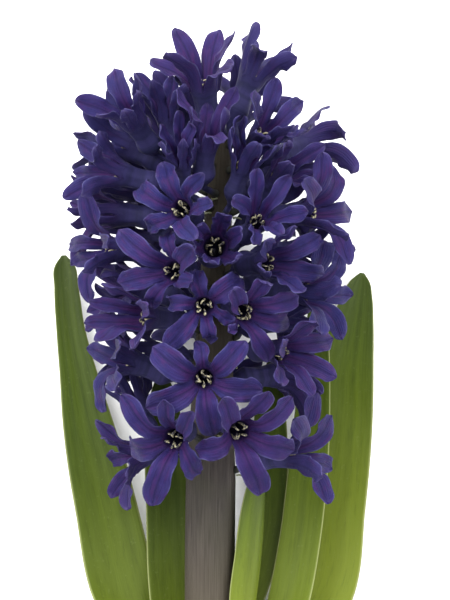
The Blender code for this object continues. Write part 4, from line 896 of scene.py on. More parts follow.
def floret_fine(p, seed):
    """One floret's fine closed mesh: (verts, faces, along, across, inner)."""
    rng = np.random.default_rng(500 + seed)
    verts, along, across, inside = [], [], [], []

    def put(points, al, ac, inn):
        points = np.asarray(points).reshape(-1, 3)
        start = len(along)
        verts.extend(points)
        along.extend(np.broadcast_to(al, len(points)).tolist())
        across.extend(np.broadcast_to(ac, len(points)).tolist())
        inside.extend([inn] * len(points))
        return np.arange(start, start + len(points))

    v = np.linspace(-1, 1, ACROSS + 1)
    knots = np.array([0, *ROWS, 1.0])
    s = np.linspace(0, 1, ALONG + 1)[:-1]
    s = 0.35 * s + 0.65 * (1 - (1 - s) ** 1.7)
    s = s * (0.99 / s[-1])
    sheets, tips = [], []
    for k in range(6):
        lobe = LOBES + 10 * k
        gl, gr, mid = p[GAPS + (k + 5) % 6], p[GAPS + k], p[MIDS + k]
        left = np.array([gl, p[lobe], p[lobe + 3], p[lobe + 6]])
        right = np.array([gr, p[lobe + 2], p[lobe + 5], p[lobe + 8]])
        centre = np.array([mid, p[lobe + 1], p[lobe + 4], p[lobe + 7]])
        hw = half_width(knots[:4])[:, None]
        side = (right - left) / 2 / hw
        cup = ((right + left) / 2 - centre) / hw**2
        c = spline(knots, np.concatenate([centre, p[lobe + 9][None]]), np.append(s, 1.0))
        # the far end follows the last row's set
        d = spline(knots, np.concatenate([side, side[-1:]]), s)
        q = spline(knots, np.concatenate([cup, cup[-1:] * 1.3]), s)
        wide = half_width(s)[:, None]
        sheet = c[:-1, None] + (v[None] * wide)[..., None] * d[:, None] + ((v[None] * wide) ** 2)[..., None] * q[:, None]
        # a shallow groove down the middle, and margins that wave a little
        du = np.gradient(sheet, axis=0)
        dv = np.gradient(sheet, axis=1)
        n = unit(np.cross(du, dv))
        if (n[2, ACROSS // 2] @ (p[MIDS : MIDS + 6].mean(0) - mid)) < 0:
            n = -n
        fade = np.clip(s / 0.18, 0, 1)[:, None]
        ph = rng.uniform(0, 6.28, 4)
        f = rng.uniform(1.3, 2.9, 2)
        wave = np.where(
            v[None] < 0, np.sin(6.28 * f[0] * s[:, None] + ph[0]), np.sin(6.28 * f[1] * s[:, None] + ph[1])
        ) * np.abs(v[None]) ** 2.5 * 0.60
        groove = -0.30 * np.exp(-((v[None] / 0.20) ** 2)) * np.sin(np.pi * np.clip(s[:, None] * 0.95 + 0.05, 0, 1)) ** 0.5
        bumpy = 0.14 * np.sin(5.1 * s[:, None] + 2.3 * v[None] + ph[2]) * np.sin(3.7 * v[None] + ph[3])
        hood = 0.9 * np.clip((s[:, None] - 0.78) / 0.22, 0, 1) ** 2
        sheet = sheet + n * ((wave + groove + bumpy + hood * 0.6) * fade)[..., None]
        tip = c[-1] + n[-1, ACROSS // 2] * 0.75
        sheets.append((sheet, n))
        tips.append((tip, n[-1, ACROSS // 2]))
    # neighbours share the notch between them
    for k in range(6):
        m = (k + 1) % 6
        notch = 0.5 * (sheets[k][0][0, -1] + sheets[m][0][0, 0])
        sheets[k][0][0, -1] = notch
        sheets[m][0][0, 0] = notch
        nn = unit(sheets[k][1][0, -1] + sheets[m][1][0, 0])
        sheets[k][1][0, -1] = nn
        sheets[m][1][0, 0] = nn
    thick = (0.40 + 0.18 * (1 - s[:, None])) * (1 - 0.72 * v[None] ** 4)
    thick[0] = 0.58
    faces = []
    mouth_out = np.zeros(AROUND, int)
    mouth_in = np.zeros(AROUND, int)
    grids = []
    for k in range(6):
        sheet, n = sheets[k]
        pair = []
        for sgn, inn, mouth in ((-1, 0.0, mouth_out), (1, 1.0, mouth_in)):
            pts = sheet + n * (sgn * 0.5 * thick)[..., None]
            ids = np.zeros(pts.shape[:2], int)
            base = put(pts[0, :-1], 0.0, v[:-1], inn)
            mouth[k * ACROSS : (k + 1) * ACROSS] = base
            ids[0, :-1] = base
            ids[1:] = put(pts[1:], np.repeat(s[1:], ACROSS + 1), np.tile(v, ALONG - 1), inn).reshape(ALONG - 1, -1)
            tip = put(tips[k][0] + tips[k][1] * (sgn * 0.16), 1.0, 0.0, inn)[0]
            pair.append((ids, tip))
        grids.append(pair)
    for k in range(6):
        nxt = (k + 1) % 6
        for w in (0, 1):
            ids, tip = grids[k][w]
            ids[0, -1] = grids[nxt][w][0][0, 0]
            for r in range(ALONG - 1):
                for c in range(ACROSS):
                    quad = [ids[r, c], ids[r, c + 1], ids[r + 1, c + 1], ids[r + 1, c]]
                    faces.append(quad if w else quad[::-1])
            for c in range(ACROSS):
                tri = [ids[-1, c], ids[-1, c + 1], tip]
                faces.append(tri if w else tri[::-1])
        # the margin
        (o, otip), (i, itip) = grids[k]
        edge_o = [*o[:, 0], otip, *o[::-1, -1]]
        edge_i = [*i[:, 0], itip, *i[::-1, -1]]
        for a in range(len(edge_o) - 1):
            faces.append([edge_i[a], edge_i[a + 1], edge_o[a + 1], edge_o[a]])
    # tube, round base and stalk
    ang = np.radians(np.arange(AROUND) * 7.5 - 30)
    mouth = p[MIDS : MIDS + 6].mean(0)
    throat = p[WAIST : WAIST + 6].mean(0)
    round_c = p[BULGE : BULGE + 6].mean(0)
    axis = unit(mouth - throat)
    x = p[BULGE] - round_c

    def circle(c, ax, r):
        a = unit(ax)
        e = unit(x - a * (x @ a))
        f = np.cross(a, e)
        return c + r * (np.cos(ang)[:, None] * e + np.sin(ang)[:, None] * f)

    stalk = unit(p[2] - p[0])
    y, z = p[0][1], p[0][2] - NECK_H
    u = y * COS_T + z * SIN_T
    here = lay_down(np.array([axis_x(u), u, 0.0]))
    away = unit(p[0] - here)
    mids = np.array([verts[i] for i in mouth_out])
    ridge = 1 + 0.05 * np.cos(6 * ang)[:, None]
    rings = [
        circle(p[0] - away * 0.25, away, 1.25),
        circle(0.6 * p[0] + 0.4 * p[1] + away * 0.2, away + stalk, 1.0),
        circle(p[1], stalk, 0.98),
        circle(p[2] - axis * 0.9, 0.5 * unit(p[2] - p[1]) + 0.5 * axis, 1.3),
        circle(p[2] + axis * 0.5, axis, 2.35),
        round_ring(p[BULGE : BULGE + 6], ang),
        0.5 * (round_ring(p[BULGE : BULGE + 6], ang) + round_ring(p[WAIST : WAIST + 6], ang)) + 0.0,
        throat + (round_ring(p[WAIST : WAIST + 6], ang) - throat) * ridge * 0.97,
        mids,
    ]
    rings = np.array(rings)
    centres = rings.mean(1)
    at = np.concatenate([[0], np.cumsum(np.linalg.norm(np.diff(centres, axis=0), axis=1) + 0.05)])
    at[-1] = at[-2] + np.linalg.norm(mids - rings[-2], axis=1).mean()
    t = np.linspace(0, 1, 25)
    t = np.interp(t, [0, 0.25, 0.55, 1], [0, 0.35, 0.65, 1]) * at[-1]
    skin = spline(at, rings, t)
    loops = [put(skin[r], (t[r] / at[-1]) - 1, 0.0, 0.0) for r in range(len(t) - 1)] + [mouth_out]
    for a, b in zip(loops, loops[1:]):
        for c in range(AROUND):
            d = (c + 1) % AROUND
            faces.append([a[c], b[c], b[d], a[d]])
    end = put(skin[0].mean(0), -1.0, 0.0, 0.0)[0]
    for c in range(AROUND):
        faces.append([loops[0][c], loops[0][(c + 1) % AROUND], end])
    # throat
    lip = np.array([verts[i] for i in mouth_in])
    neck = throat + (round_ring(p[WAIST : WAIST + 6], ang) - throat) * 0.70
    floor = throat - axis * 3.0 + (neck - throat) * 0.55
    collar = mouth + (lip - mouth) * 0.76 - axis * 0.9
    inner = spline([0, 0.3, 1, 2], np.array([lip, collar, neck, floor]), np.linspace(0, 2, 10))
    loops = [mouth_in] + [put(inner[r], -0.10 * r, 0.0, 1.0) for r in range(1, 10)]
    for a, b in zip(loops, loops[1:]):
        for c in range(AROUND):
            d = (c + 1) % AROUND
            faces.append([a[d], b[d], b[c], a[c]])
    end = put(inner[-1].mean(0) + axis * 0.6, -0.9, 0.0, 1.0)[0]
    for c in range(AROUND):
        faces.append([loops[-1][(c + 1) % AROUND], loops[-1][c], end])
    return np.array(verts), faces, np.array(along), np.array(across), np.array(inside)


def bar(path, radii, sides, flat=1.0, up=None):
    """A closed round bar along a path: (verts, faces)."""
    path = np.asarray(path, float)
    tan = unit(np.gradient(path, axis=0))
    e = np.array([0.3, 0.2, 1.0]) if up is None else np.asarray(up, float)
    verts, faces = [], []
    for c, ax, r in zip(path, tan, radii):
        e = unit(e - ax * (e @ ax))
        f = np.cross(ax, e)
        a = np.arange(sides) * 2 * np.pi / sides
        verts.extend(c + r * (np.cos(a)[:, None] * e * flat + np.sin(a)[:, None] * f))
    n = len(path)
    for r in range(n - 1):
        for k in range(sides):
            m = (k + 1) % sides
            faces.append([r * sides + k, r * sides + m, (r + 1) * sides + m, (r + 1) * sides + k])
    verts.append(path[0] - tan[0] * radii[0] * 0.5)
    verts.append(path[-1] + tan[-1] * radii[-1] * 0.5)
    for k in range(sides):
        m = (k + 1) % sides
        faces.append([m, k, n * sides])
        faces.append([(n - 1) * sides + k, (n - 1) * sides + m, n * sides + 1])
    return np.array(verts), faces


def stamens(p, seed, size):
    """Anthers and stigma of one floret: [(verts, faces, kind)], kind 0 anther, 1 style."""
    rng = np.random.default_rng(900 + seed)
    mouth = p[MIDS : MIDS + 6].mean(0)
    throat = p[WAIST : WAIST + 6].mean(0)
    z = unit(mouth - throat)
    made = []
    for k in range(6):
        e = p[MIDS + k] - mouth
        e = unit(e - z * (e @ z))
        b = np.cross(z, e)
        turn = rng.uniform(-0.35, 0.35)
        e, b = e * math.cos(turn) + b * math.sin(turn), b * math.cos(turn) - e * math.sin(turn)
        lift = rng.uniform(-0.5, 0.5)
        lean = rng.uniform(-0.8, 0.8)
        t = np.linspace(0, 1, 13)
        curl = rng.uniform(1.6, 2.9)
        r = (2.05 + 0.40 * np.sin(t * 3.0) - 1.25 * t**2 + rng.uniform(-0.3, 0.2)) * size
        h = (-2.6 + lift + 3.4 * np.sin(t * curl) ** 1.0) * size
        path = mouth + r[:, None] * e + h[:, None] * z + (lean * t**2 + 0.35 * np.sin(5.0 * t + 6.0 * lean))[:, None] * b
        rad = (0.12 + 0.24 * np.sin(np.pi * np.clip(t * 0.92 + 0.06, 0, 1)) ** 0.6) * size
        made.append((*bar(path, rad, 10, flat=0.75, up=b), 0))
    t = np.linspace(0, 1, 8)
    path = throat + z * (np.array([-2.5]) + t * 4.3)[:, None]
    rad = np.interp(t, [0, 0.3, 0.6, 0.85, 1], [1.1, 0.9, 0.36, 0.42, 0.30]) * size
    made.append((*bar(path, rad, 10), 1))
    return made


def leaf_fine(stations, rows=110, cols=20):
    """A leaf's fine closed mesh: (verts, faces, along, across)."""
    sheet = leaf_sheet(stations, rows, cols + 1)
    v = np.linspace(-1, 1, cols + 1)
    n = unit(np.cross(np.gradient(sheet, axis=0), np.gradient(sheet, axis=1)))
    centre = sheet.mean(1, keepdims=True)
    if ((sheet[rows // 2, cols // 2] - sheet[rows // 2].mean(0)) @ n[rows // 2, cols // 2]) > 0:
        n = -n                                     # the upper face is the channel's inside
    t = np.linspace(0, 1, rows)[:, None]
    ribs = 0.03 * np.cos(v[None] * 3.14159 * 5)
    thick = LEAF_T * (0.55 + 0.45 * (1 - t)) * (1 - 0.80 * np.abs(v[None]) ** 3.2)
    thick = np.minimum(thick, LEAF_T * 0.98)
    thick[-1] *= 0.5
    keel = 0.25 * np.exp(-((v[None] / 0.1) ** 2))
    upper = sheet + n * (0.5 * thick - 0.18 * keel + ribs)[..., None]
    under = sheet - n * (0.5 * thick + ribs * 0.5)[..., None]
    under[..., 2] = np.maximum(under[..., 2], 0.05)
    upper[..., 2] = np.maximum(upper[..., 2], 0.12)
    count = rows * (cols + 1)
    verts = np.concatenate([upper.reshape(-1, 3), under.reshape(-1, 3)])
    faces = []
    for r in range(rows - 1):
        for c in range(cols):
            a = r * (cols + 1) + c
            quad = [a, a + 1, a + cols + 2, a + cols + 1]
            faces.append(quad)
            faces.append([count + i for i in reversed(quad)])
    ring = (
        [r * (cols + 1) for r in range(rows)]
        + [(rows - 1) * (cols + 1) + c for c in range(1, cols + 1)]
        + [r * (cols + 1) + cols for r in range(rows - 2, -1, -1)]
        + [c for c in range(cols - 1, 0, -1)]
    )
    for a, b in zip(ring, ring[1:] + ring[:1]):
        faces.append([a, count + a, count + b, b][::-1])
    along = np.tile(np.repeat(np.linspace(0, 1, rows), cols + 1), 2)
    across = np.tile(v, rows * 2)
    return verts, faces, along, across


def scape_fine(sides=96, rows=150):
    """The scape's fine closed mesh: (verts, faces, along, around)."""
    us = np.linspace(0.02, SCAPE_LEN, rows)
    a = np.arange(sides) * 2 * np.pi / sides
    rng = np.random.default_rng(77)
    flute = sum(
        rng.uniform(0.3, 1.0) * 0.035 * np.cos(k * a + rng.uniform(0, 6.28)) for k in (5, 9, 14, 19, 27)
    )
    verts = []
    for i, u in enumerate(us):
        r = scape_r(u) * (1 + 0 * u) + flute + 0.05 * np.sin(0.11 * u + a * 2)
        if u > SCAPE_LEN - 2:
            r = r * math.sqrt(max(1 - ((u - SCAPE_LEN + 2) / 2.05) ** 2, 0.01))
        if i == 0:
            r = r - 0.25
        verts.append(lay_down(np.stack([axis_x(u) + r * np.cos(a), np.full(sides, u), r * np.sin(a)], 1)))
    verts = np.concatenate(verts)
    faces = []
    for r in range(rows - 1):
        for k in range(sides):
            m = (k + 1) % sides
            faces.append([r * sides + k, (r + 1) * sides + k, (r + 1) * sides + m, r * sides + m])
    # the cut face in rings, so that its pith and its skin can differ
    c0 = lay_down(np.array([axis_x(0), 0.0, 0.0]))
    start = len(verts)
    inner_rings = []
    for j, f in enumerate((0.92, 0.75, 0.5, 0.25)):
        ring = c0 + (verts[:sides] - c0) * f + np.array([0, 0.12 * math.sin(j * 2.1), 0])
        inner_rings.append(ring)
    verts = np.concatenate([verts, *inner_rings, c0[None], lay_down(np.array([[axis_x(SCAPE_LEN), SCAPE_LEN + 0.2, 0.0]]))])
    prev = list(range(sides))
    for j in range(4):
        cur = [start + j * sides + k for k in range(sides)]
        for k in range(sides):
            m = (k + 1) % sides
            faces.append([prev[k], prev[m], cur[m], cur[k]])
        prev = cur
    hub, top = len(verts) - 2, len(verts) - 1
    for k in range(sides):
        m = (k + 1) % sides
        faces.append([prev[k], prev[m], hub])
        faces.append([(rows - 1) * sides + m, (rows - 1) * sides + k, top])
    along = np.concatenate([np.repeat(us, sides) / SCAPE_LEN, np.repeat([-0.05, -0.1, -0.15, -0.2], sides), [-0.3, 1.0]])
    around = np.concatenate([np.tile(a, rows + 4), [0, 0]])
    return verts, faces, along, around


def bracts(points):
    """Small pale scales at the feet of the stalks: [(verts, faces)]."""
    made = []
    for f, p in enumerate(points):
        rng = np.random.default_rng(1300 + f)
        if rng.uniform() > 0.45:
            continue
        y, z = p[0][1], p[0][2] - NECK_H
        u = y * COS_T + z * SIN_T
        here = lay_down(np.array([axis_x(u), u, 0.0]))
        out = unit(p[0] - here)
        down = turn_down(np.array([0, -1.0, 0]))
        side = np.cross(out, down)
        n, m = 9, 5
        length, wide = rng.uniform(2.6, 4.4), rng.uniform(0.8, 1.2)
        s = np.linspace(0, 1, n)[:, None]
        v = np.linspace(-1, 1, m)[None]
        foot = p[0] + down * 1.75 + out * 0.12
        mid = foot + out * (0.25 + 0.0 * s) * 1 + (out * 0.75 - down * 0.25) * (s * length * 0.9) + down * (s**2 * length * 0.3)
        w = wide * np.sqrt(np.clip(1 - s**2.2, 0.015, 1))
        sheet = mid[:, None] + (v * w)[..., None] * side + ((v * w) ** 2 * 0.3)[..., None] * (-down)
        nn = unit(np.cross(np.gradient(sheet, axis=0), np.gradient(sheet, axis=1)))
        up, un = sheet + nn * 0.13, sheet - nn * 0.13
        count = n * m
        verts = np.concatenate([up.reshape(-1, 3), un.reshape(-1, 3)])
        faces = []
        for r in range(n - 1):
            for c in range(m - 1):
                a = r * m + c
                quad = [a, a + 1, a + m + 1, a + m]
                faces += [quad, [count + i for i in reversed(quad)]]
        ring = (
            [r * m for r in range(n)] + [(n - 1) * m + c for c in range(1, m)] + [r * m + m - 1 for r in range(n - 2, -1, -1)]
            + [c for c in range(m - 2, 0, -1)]
        )
        for a, b in zip(ring, ring[1:] + ring[:1]):
            faces.append([a, count + a, count + b, b][::-1])
        made.append((verts, faces))
    return made
# ---------------------------------------------------------------------------
# Materials
# ---------------------------------------------------------------------------
class Nodes:
    """Small helper to lay a node tree out in code."""

    def __init__(self, name):
        self.mat = bpy.data.materials.new(name)
        self.mat.use_nodes = True
        self.tree = self.mat.node_tree
        self.shader = self.tree.nodes["Principled BSDF"]

    def node(self, kind, **values):
        n = self.tree.nodes.new("ShaderNode" + kind)
        for key, val in values.items():
            if key in n.inputs:
                self.set(n.inputs[key], val)
            else:
                setattr(n, key, val)
        return n

    def set(self, socket, val):
        if isinstance(val, bpy.types.NodeSocket):
            self.tree.links.new(val, socket)
        else:
            socket.default_value = val

    def attr(self, name):
        n = self.tree.nodes.new("ShaderNodeAttribute")
        n.attribute_name = name
        return n.outputs["Fac"]

    def math(self, op, a, b=0.0, c=0.0, clamp=False):
        n = self.tree.nodes.new("ShaderNodeMath")
        n.operation = op
        n.use_clamp = clamp
        for i, val in enumerate((a, b, c)):
            self.set(n.inputs[i], val)
        return n.outputs[0]

    def mix(self, fac, a, b):
        n = self.tree.nodes.new("ShaderNodeMix")
        n.data_type = "RGBA"
        self.set(n.inputs[0], fac)
        for i, val in ((6, a), (7, b)):
            self.set(n.inputs[i], (*val, 1) if isinstance(val, tuple) else val)
        return n.outputs[2]

    def ramp(self, fac, low, high):
        """0 below low, 1 above high, smooth between."""
        n = self.tree.nodes.new("ShaderNodeMapRange")
        n.interpolation_type = "SMOOTHSTEP"
        self.set(n.inputs["Value"], fac)
        n.inputs["From Min"].default_value = low
        n.inputs["From Max"].default_value = high
        return n.outputs["Result"]

    def vector(self, x, y, z):
        n = self.tree.nodes.new("ShaderNodeCombineXYZ")
        for i, val in enumerate((x, y, z)):
            self.set(n.inputs[i], val)
        return n.outputs[0]

    def noise(self, vec, scale, detail=3.0, rough=0.55):
        n = self.tree.nodes.new("ShaderNodeTexNoise")
        self.set(n.inputs["Vector"], vec)
        n.inputs["Scale"].default_value = scale
        n.inputs["Detail"].default_value = detail
        n.inputs["Roughness"].default_value = rough
        return n.outputs["Fac"]

    def bump(self, height, distance, strength=1.0):
        n = self.tree.nodes.new("ShaderNodeBump")
        self.set(n.inputs["Height"], height)
        n.inputs["Distance"].default_value = distance
        n.inputs["Strength"].default_value = strength
        self.tree.links.new(n.outputs[0], self.shader.inputs["Normal"])


def petal_material():
    m = Nodes("petal_violet")
    al, ac, inn, tint = (m.attr(a) for a in ("along", "across", "inner", "tint"))
    place = m.node("NewGeometry").outputs["Position"]
    a2 = m.math("ABSOLUTE", ac)
    seed = m.math("MULTIPLY", tint, 17.0)
    streak = m.noise(m.vector(m.math("MULTIPLY", ac, 7.0), m.math("MULTIPLY", al, 1.6), seed), 1.9, 3.0)
    fine_streak = m.noise(m.vector(m.math("MULTIPLY", ac, 19.0), m.math("MULTIPLY", al, 2.6), seed), 2.0, 3.0, 0.6)
    blotch = m.noise(place, 190.0, 3.0, 0.6)
    veins = m.math("ABSOLUTE", m.math("SINE", m.math("MULTIPLY", ac, 15.0)))
    deep, mid, light = (0.0080, 0.0055, 0.036), (0.0132, 0.0086, 0.058), (0.025, 0.018, 0.084)
    base = m.mix(m.ramp(streak, 0.30, 0.72), deep, mid)
    base = m.mix(m.math("MULTIPLY", m.ramp(fine_streak, 0.42, 0.72), 0.34), base, (0.019, 0.015, 0.063))
    edge = m.math("MULTIPLY", m.ramp(a2, 0.45, 1.0), 0.34)
    base = m.mix(edge, base, light)
    ends = m.math("MULTIPLY", m.ramp(al, 0.55, 1.0), 0.30)
    base = m.mix(ends, base, light)
    # each flower a little different, and patches within it: some redder, some bluer
    warm = m.ramp(tint, 0.55, 1.0)
    base = m.mix(m.math("MULTIPLY", warm, 0.30), base, (0.021, 0.0068, 0.048))
    cool = m.math("SUBTRACT", 1.0, m.ramp(tint, 0.0, 0.40))
    base = m.mix(m.math("MULTIPLY", cool, 0.30), base, (0.0085, 0.0110, 0.060))
    drift = m.noise(m.vector(m.math("MULTIPLY", ac, 1.3), m.math("MULTIPLY", al, 2.2), m.math("MULTIPLY", tint, 41.0)), 1.5, 2.0)
    base = m.mix(m.math("MULTIPLY", m.ramp(drift, 0.50, 0.68), 0.62), base, (0.026, 0.0080, 0.050))
    base = m.mix(m.math("MULTIPLY", m.math("SUBTRACT", 1.0, m.ramp(drift, 0.28, 0.46)), 0.45), base, (0.0085, 0.0105, 0.056))
    base = m.mix(m.math("MULTIPLY", m.ramp(blotch, 0.48, 0.72), 0.30), base, light)
    base = m.mix(m.math("MULTIPLY", m.math("SUBTRACT", 1.0, m.ramp(blotch, 0.30, 0.48)), 0.30), base, (0.0062, 0.0045, 0.026))
    # the sunken midrib, and a flush of magenta beside it near the throat
    near = m.math("SUBTRACT", 1.0, m.ramp(al, 0.10, 0.62))
    flush = m.math("MULTIPLY", m.math("SUBTRACT", 1.0, m.ramp(a2, 0.10, 0.60)), m.math("MULTIPLY", near, inn))
    base = m.mix(m.math("MULTIPLY", flush, 0.52), base, (0.034, 0.0080, 0.050))
    rib = m.math("MULTIPLY", m.math("SUBTRACT", 1.0, m.ramp(a2, 0.02, 0.20)), 0.60)
    base = m.mix(rib, base, (0.0050, 0.0035, 0.026))
    base = m.mix(m.math("MULTIPLY", m.math("SUBTRACT", 1.0, m.ramp(veins, 0.0, 0.35)), 0.20), base, (0.0050, 0.0035, 0.027))
    # the outside is duller; the tube bluer, its round base navy, its stalk dull green
    tube = m.math("SUBTRACT", 1.0, m.ramp(al, -0.20, 0.14))
    out = m.math("SUBTRACT", 1.0, inn)
    dusk_noise = m.noise(m.vector(m.math("MULTIPLY", ac, 5.0), m.math("MULTIPLY", al, 5.0), m.math("MULTIPLY", tint, 31.0)), 2.2, 3.0)
    dusk = m.mix(m.ramp(dusk_noise, 0.32, 0.66), (0.0135, 0.0145, 0.041), (0.0250, 0.0225, 0.076))
    base = m.mix(m.math("MULTIPLY", out, 0.38), base, (0.0185, 0.0160, 0.060))
    base = m.mix(m.math("MULTIPLY", m.math("MULTIPLY", tube, out), 0.80), base, dusk)
    stalk = m.math("SUBTRACT", 1.0, m.ramp(al, -0.93, -0.74))
    base = m.mix(m.math("MULTIPLY", stalk, out), base, (0.020, 0.021, 0.017))
    # thin pale rims, and lavender where the ends turn back
    rim_noise = m.noise(m.vector(m.math("MULTIPLY", ac, 2.0), m.math("MULTIPLY", al, 5.0), seed), 1.8, 2.0)
    on_lobe = m.ramp(al, 0.10, 0.40)
    rim = m.math("MULTIPLY", m.ramp(a2, 0.86, 1.0), m.math("MULTIPLY", m.ramp(rim_noise, 0.35, 0.62), on_lobe))
    base = m.mix(m.math("MULTIPLY", rim, 0.55), base, (0.062, 0.062, 0.150))
    cap = m.math("MULTIPLY", m.ramp(al, 0.86, 1.0), m.ramp(rim_noise, 0.40, 0.62))
    base = m.mix(m.math("MULTIPLY", cap, 0.45), base, (0.070, 0.057, 0.145))
    # painted shade: the throat's inside darkens down into the tube, where shade falls
    throat = m.math("MULTIPLY", m.math("SUBTRACT", 1.0, m.ramp(al, -0.50, 0.0)), inn)
    base = m.mix(m.math("MULTIPLY", throat, 0.85), base, (0.0060, 0.0050, 0.018))
    m.set(m.shader.inputs["Base Color"], base)
    rough = m.math("ADD", 0.50, m.math("MULTIPLY", streak, 0.16))
    m.set(m.shader.inputs["Roughness"], rough)
    m.shader.inputs["Specular IOR Level"].default_value = 0.07
    m.shader.inputs["Sheen Weight"].default_value = 0.012
    m.shader.inputs["Sheen Roughness"].default_value = 0.45
    m.shader.inputs["Sheen Tint"].default_value = (0.62, 0.55, 1.0, 1)
    fine = m.noise(place, 2600.0, 2.0)
    height = m.math("ADD", m.math("MULTIPLY", streak, 0.8), m.math("MULTIPLY", fine, 0.30))
    height = m.math("ADD", height, m.math("MULTIPLY", veins, 0.25))
    height = m.math("ADD", height, m.math("MULTIPLY", fine_streak, 0.5))
    m.bump(height, 0.00026, 0.9)
    return m.mat


def leaf_material():
    m = Nodes("leaf_green")
    al, ac, tint = (m.attr(a) for a in ("along", "across", "tint"))
    place = m.node("NewGeometry").outputs["Position"]
    a2 = m.math("ABSOLUTE", ac)
    seed = m.math("MULTIPLY", tint, 23.0)
    broad = m.noise(m.vector(m.math("MULTIPLY", ac, 1.6), m.math("MULTIPLY", al, 1.1), seed), 1.6, 2.0)
    fibre = m.noise(m.vector(m.math("MULTIPLY", ac, 26.0), m.math("MULTIPLY", al, 1.2), seed), 1.7, 3.0)
    lines = m.noise(m.vector(m.math("MULTIPLY", ac, 44.0), m.math("MULTIPLY", al, 0.8), seed), 1.5, 2.0)
    dark, mid, light = (0.016, 0.027, 0.0040), (0.030, 0.049, 0.0048), (0.052, 0.079, 0.0056)
    base = m.mix(m.ramp(broad, 0.25, 0.75), mid, light)
    base = m.mix(m.math("MULTIPLY", m.ramp(fibre, 0.35, 0.70), 0.26), base, dark)
    base = m.mix(m.math("MULTIPLY", m.ramp(lines, 0.45, 0.70), 0.16), base, dark)
    foot = m.math("SUBTRACT", 1.0, m.ramp(al, 0.18, 0.66))
    base = m.mix(m.math("MULTIPLY", foot, 0.62), base, (0.102, 0.132, 0.0096))
    # painted light: the leaves whose tint is high, on the lit side, lighter, most of all in their lower part
    painted_light = m.math("MULTIPLY", m.ramp(tint, 0.50, 0.80), m.math("SUBTRACT", 1.0, m.ramp(al, 0.25, 0.95)))
    base = m.mix(m.math("MULTIPLY", painted_light, 0.50), base, (0.130, 0.155, 0.011))
    mottle = m.noise(m.vector(m.math("MULTIPLY", ac, 5.0), m.math("MULTIPLY", al, 9.0), seed), 2.2, 5.0, 0.65)
    base = m.mix(m.math("MULTIPLY", m.ramp(mottle, 0.46, 0.70), 0.22), base, (0.072, 0.100, 0.0144))
    base = m.mix(m.math("MULTIPLY", m.math("SUBTRACT", 1.0, m.ramp(mottle, 0.30, 0.50)), 0.25), base, dark)
    neck = m.math("SUBTRACT", 1.0, m.ramp(al, 0.0, 0.14))
    base = m.mix(m.math("MULTIPLY", neck, 0.75), base, (0.36, 0.38, 0.18))
    tip = m.ramp(al, 0.70, 1.0)
    base = m.mix(m.math("MULTIPLY", tip, 0.42), base, (0.027, 0.036, 0.0160))
    # painted shade: the leaves whose tint is low, lying in shadow, darker
    painted_shade = m.math("SUBTRACT", 1.0, m.ramp(tint, 0.48, 0.56))
    base = m.mix(m.math("MULTIPLY", painted_shade, 0.26), base, (0.002, 0.003, 0.002))
    margin = m.ramp(a2, 0.93, 1.0)
    base = m.mix(m.math("MULTIPLY", margin, 0.70), base, (0.20, 0.215, 0.088))
    spots = m.noise(place, 900.0, 2.0)
    base = m.mix(m.math("MULTIPLY", m.ramp(spots, 0.62, 0.75), 0.16), base, (0.12, 0.145, 0.05))
    m.set(m.shader.inputs["Base Color"], base)
    m.set(m.shader.inputs["Roughness"], m.math("ADD", 0.34, m.math("MULTIPLY", fibre, 0.22)))
    m.shader.inputs["Specular IOR Level"].default_value = 0.10
    height = m.math("ADD", m.math("MULTIPLY", lines, 0.4), m.math("MULTIPLY", fibre, 0.5))
    m.bump(height, 0.00010, 0.5)
    return m.mat


def scape_material():
    m = Nodes("scape_flesh")
    al, ar = m.attr("along"), m.attr("around")
    place = m.node("NewGeometry").outputs["Position"]
    cx, cy = m.math("COSINE", ar), m.math("SINE", ar)
    fibre = m.noise(m.vector(m.math("MULTIPLY", cx, 9.0), m.math("MULTIPLY", cy, 9.0), m.math("MULTIPLY", al, 3.0)), 2.4, 4.0, 0.65)
    thin = m.noise(m.vector(m.math("MULTIPLY", cx, 30.0), m.math("MULTIPLY", cy, 30.0), m.math("MULTIPLY", al, 9.0)), 2.2, 3.0, 0.6)
    broad = m.noise(place, 55.0, 2.0)
    base = m.mix(m.ramp(fibre, 0.32, 0.68), (0.0125, 0.0098, 0.0100), (0.036, 0.030, 0.027))
    base = m.mix(m.math("MULTIPLY", m.ramp(thin, 0.42, 0.66), 0.55), base, (0.062, 0.053, 0.047))
    base = m.mix(m.math("MULTIPLY", m.math("SUBTRACT", 1.0, m.ramp(thin, 0.30, 0.46)), 0.55), base, (0.010, 0.008, 0.009))
    base = m.mix(m.math("MULTIPLY", m.ramp(broad, 0.40, 0.70), 0.35), base, (0.025, 0.026, 0.014))
    foot = m.math("SUBTRACT", 1.0, m.ramp(al, 0.24, 0.46))
    base = m.mix(m.math("MULTIPLY", foot, 0.55), base, (0.064, 0.053, 0.034))
    foot = m.math("SUBTRACT", 1.0, m.ramp(al, 0.0, 0.20))
    base = m.mix(m.math("MULTIPLY", foot, 0.60), base, (0.17, 0.18, 0.08))
    top = m.ramp(al, 0.50, 0.72)
    base = m.mix(m.math("MULTIPLY", top, 0.78), base, (0.016, 0.0120, 0.0070))
    cut = m.math("SUBTRACT", 1.0, m.ramp(al, -0.04, -0.01))
    pith = m.mix(m.ramp(m.noise(place, 1400.0, 2.0), 0.4, 0.65), (0.42, 0.46, 0.24), (0.56, 0.58, 0.38))
    base = m.mix(cut, base, pith)
    m.set(m.shader.inputs["Base Color"], base)
    m.set(m.shader.inputs["Roughness"], m.math("ADD", 0.42, m.math("MULTIPLY", thin, 0.2)))
    m.shader.inputs["Specular IOR Level"].default_value = 0.12
    height = m.math("ADD", m.math("MULTIPLY", fibre, 1.0), m.math("MULTIPLY", thin, 0.5))
    m.bump(height, 0.00025, 0.8)
    return m.mat


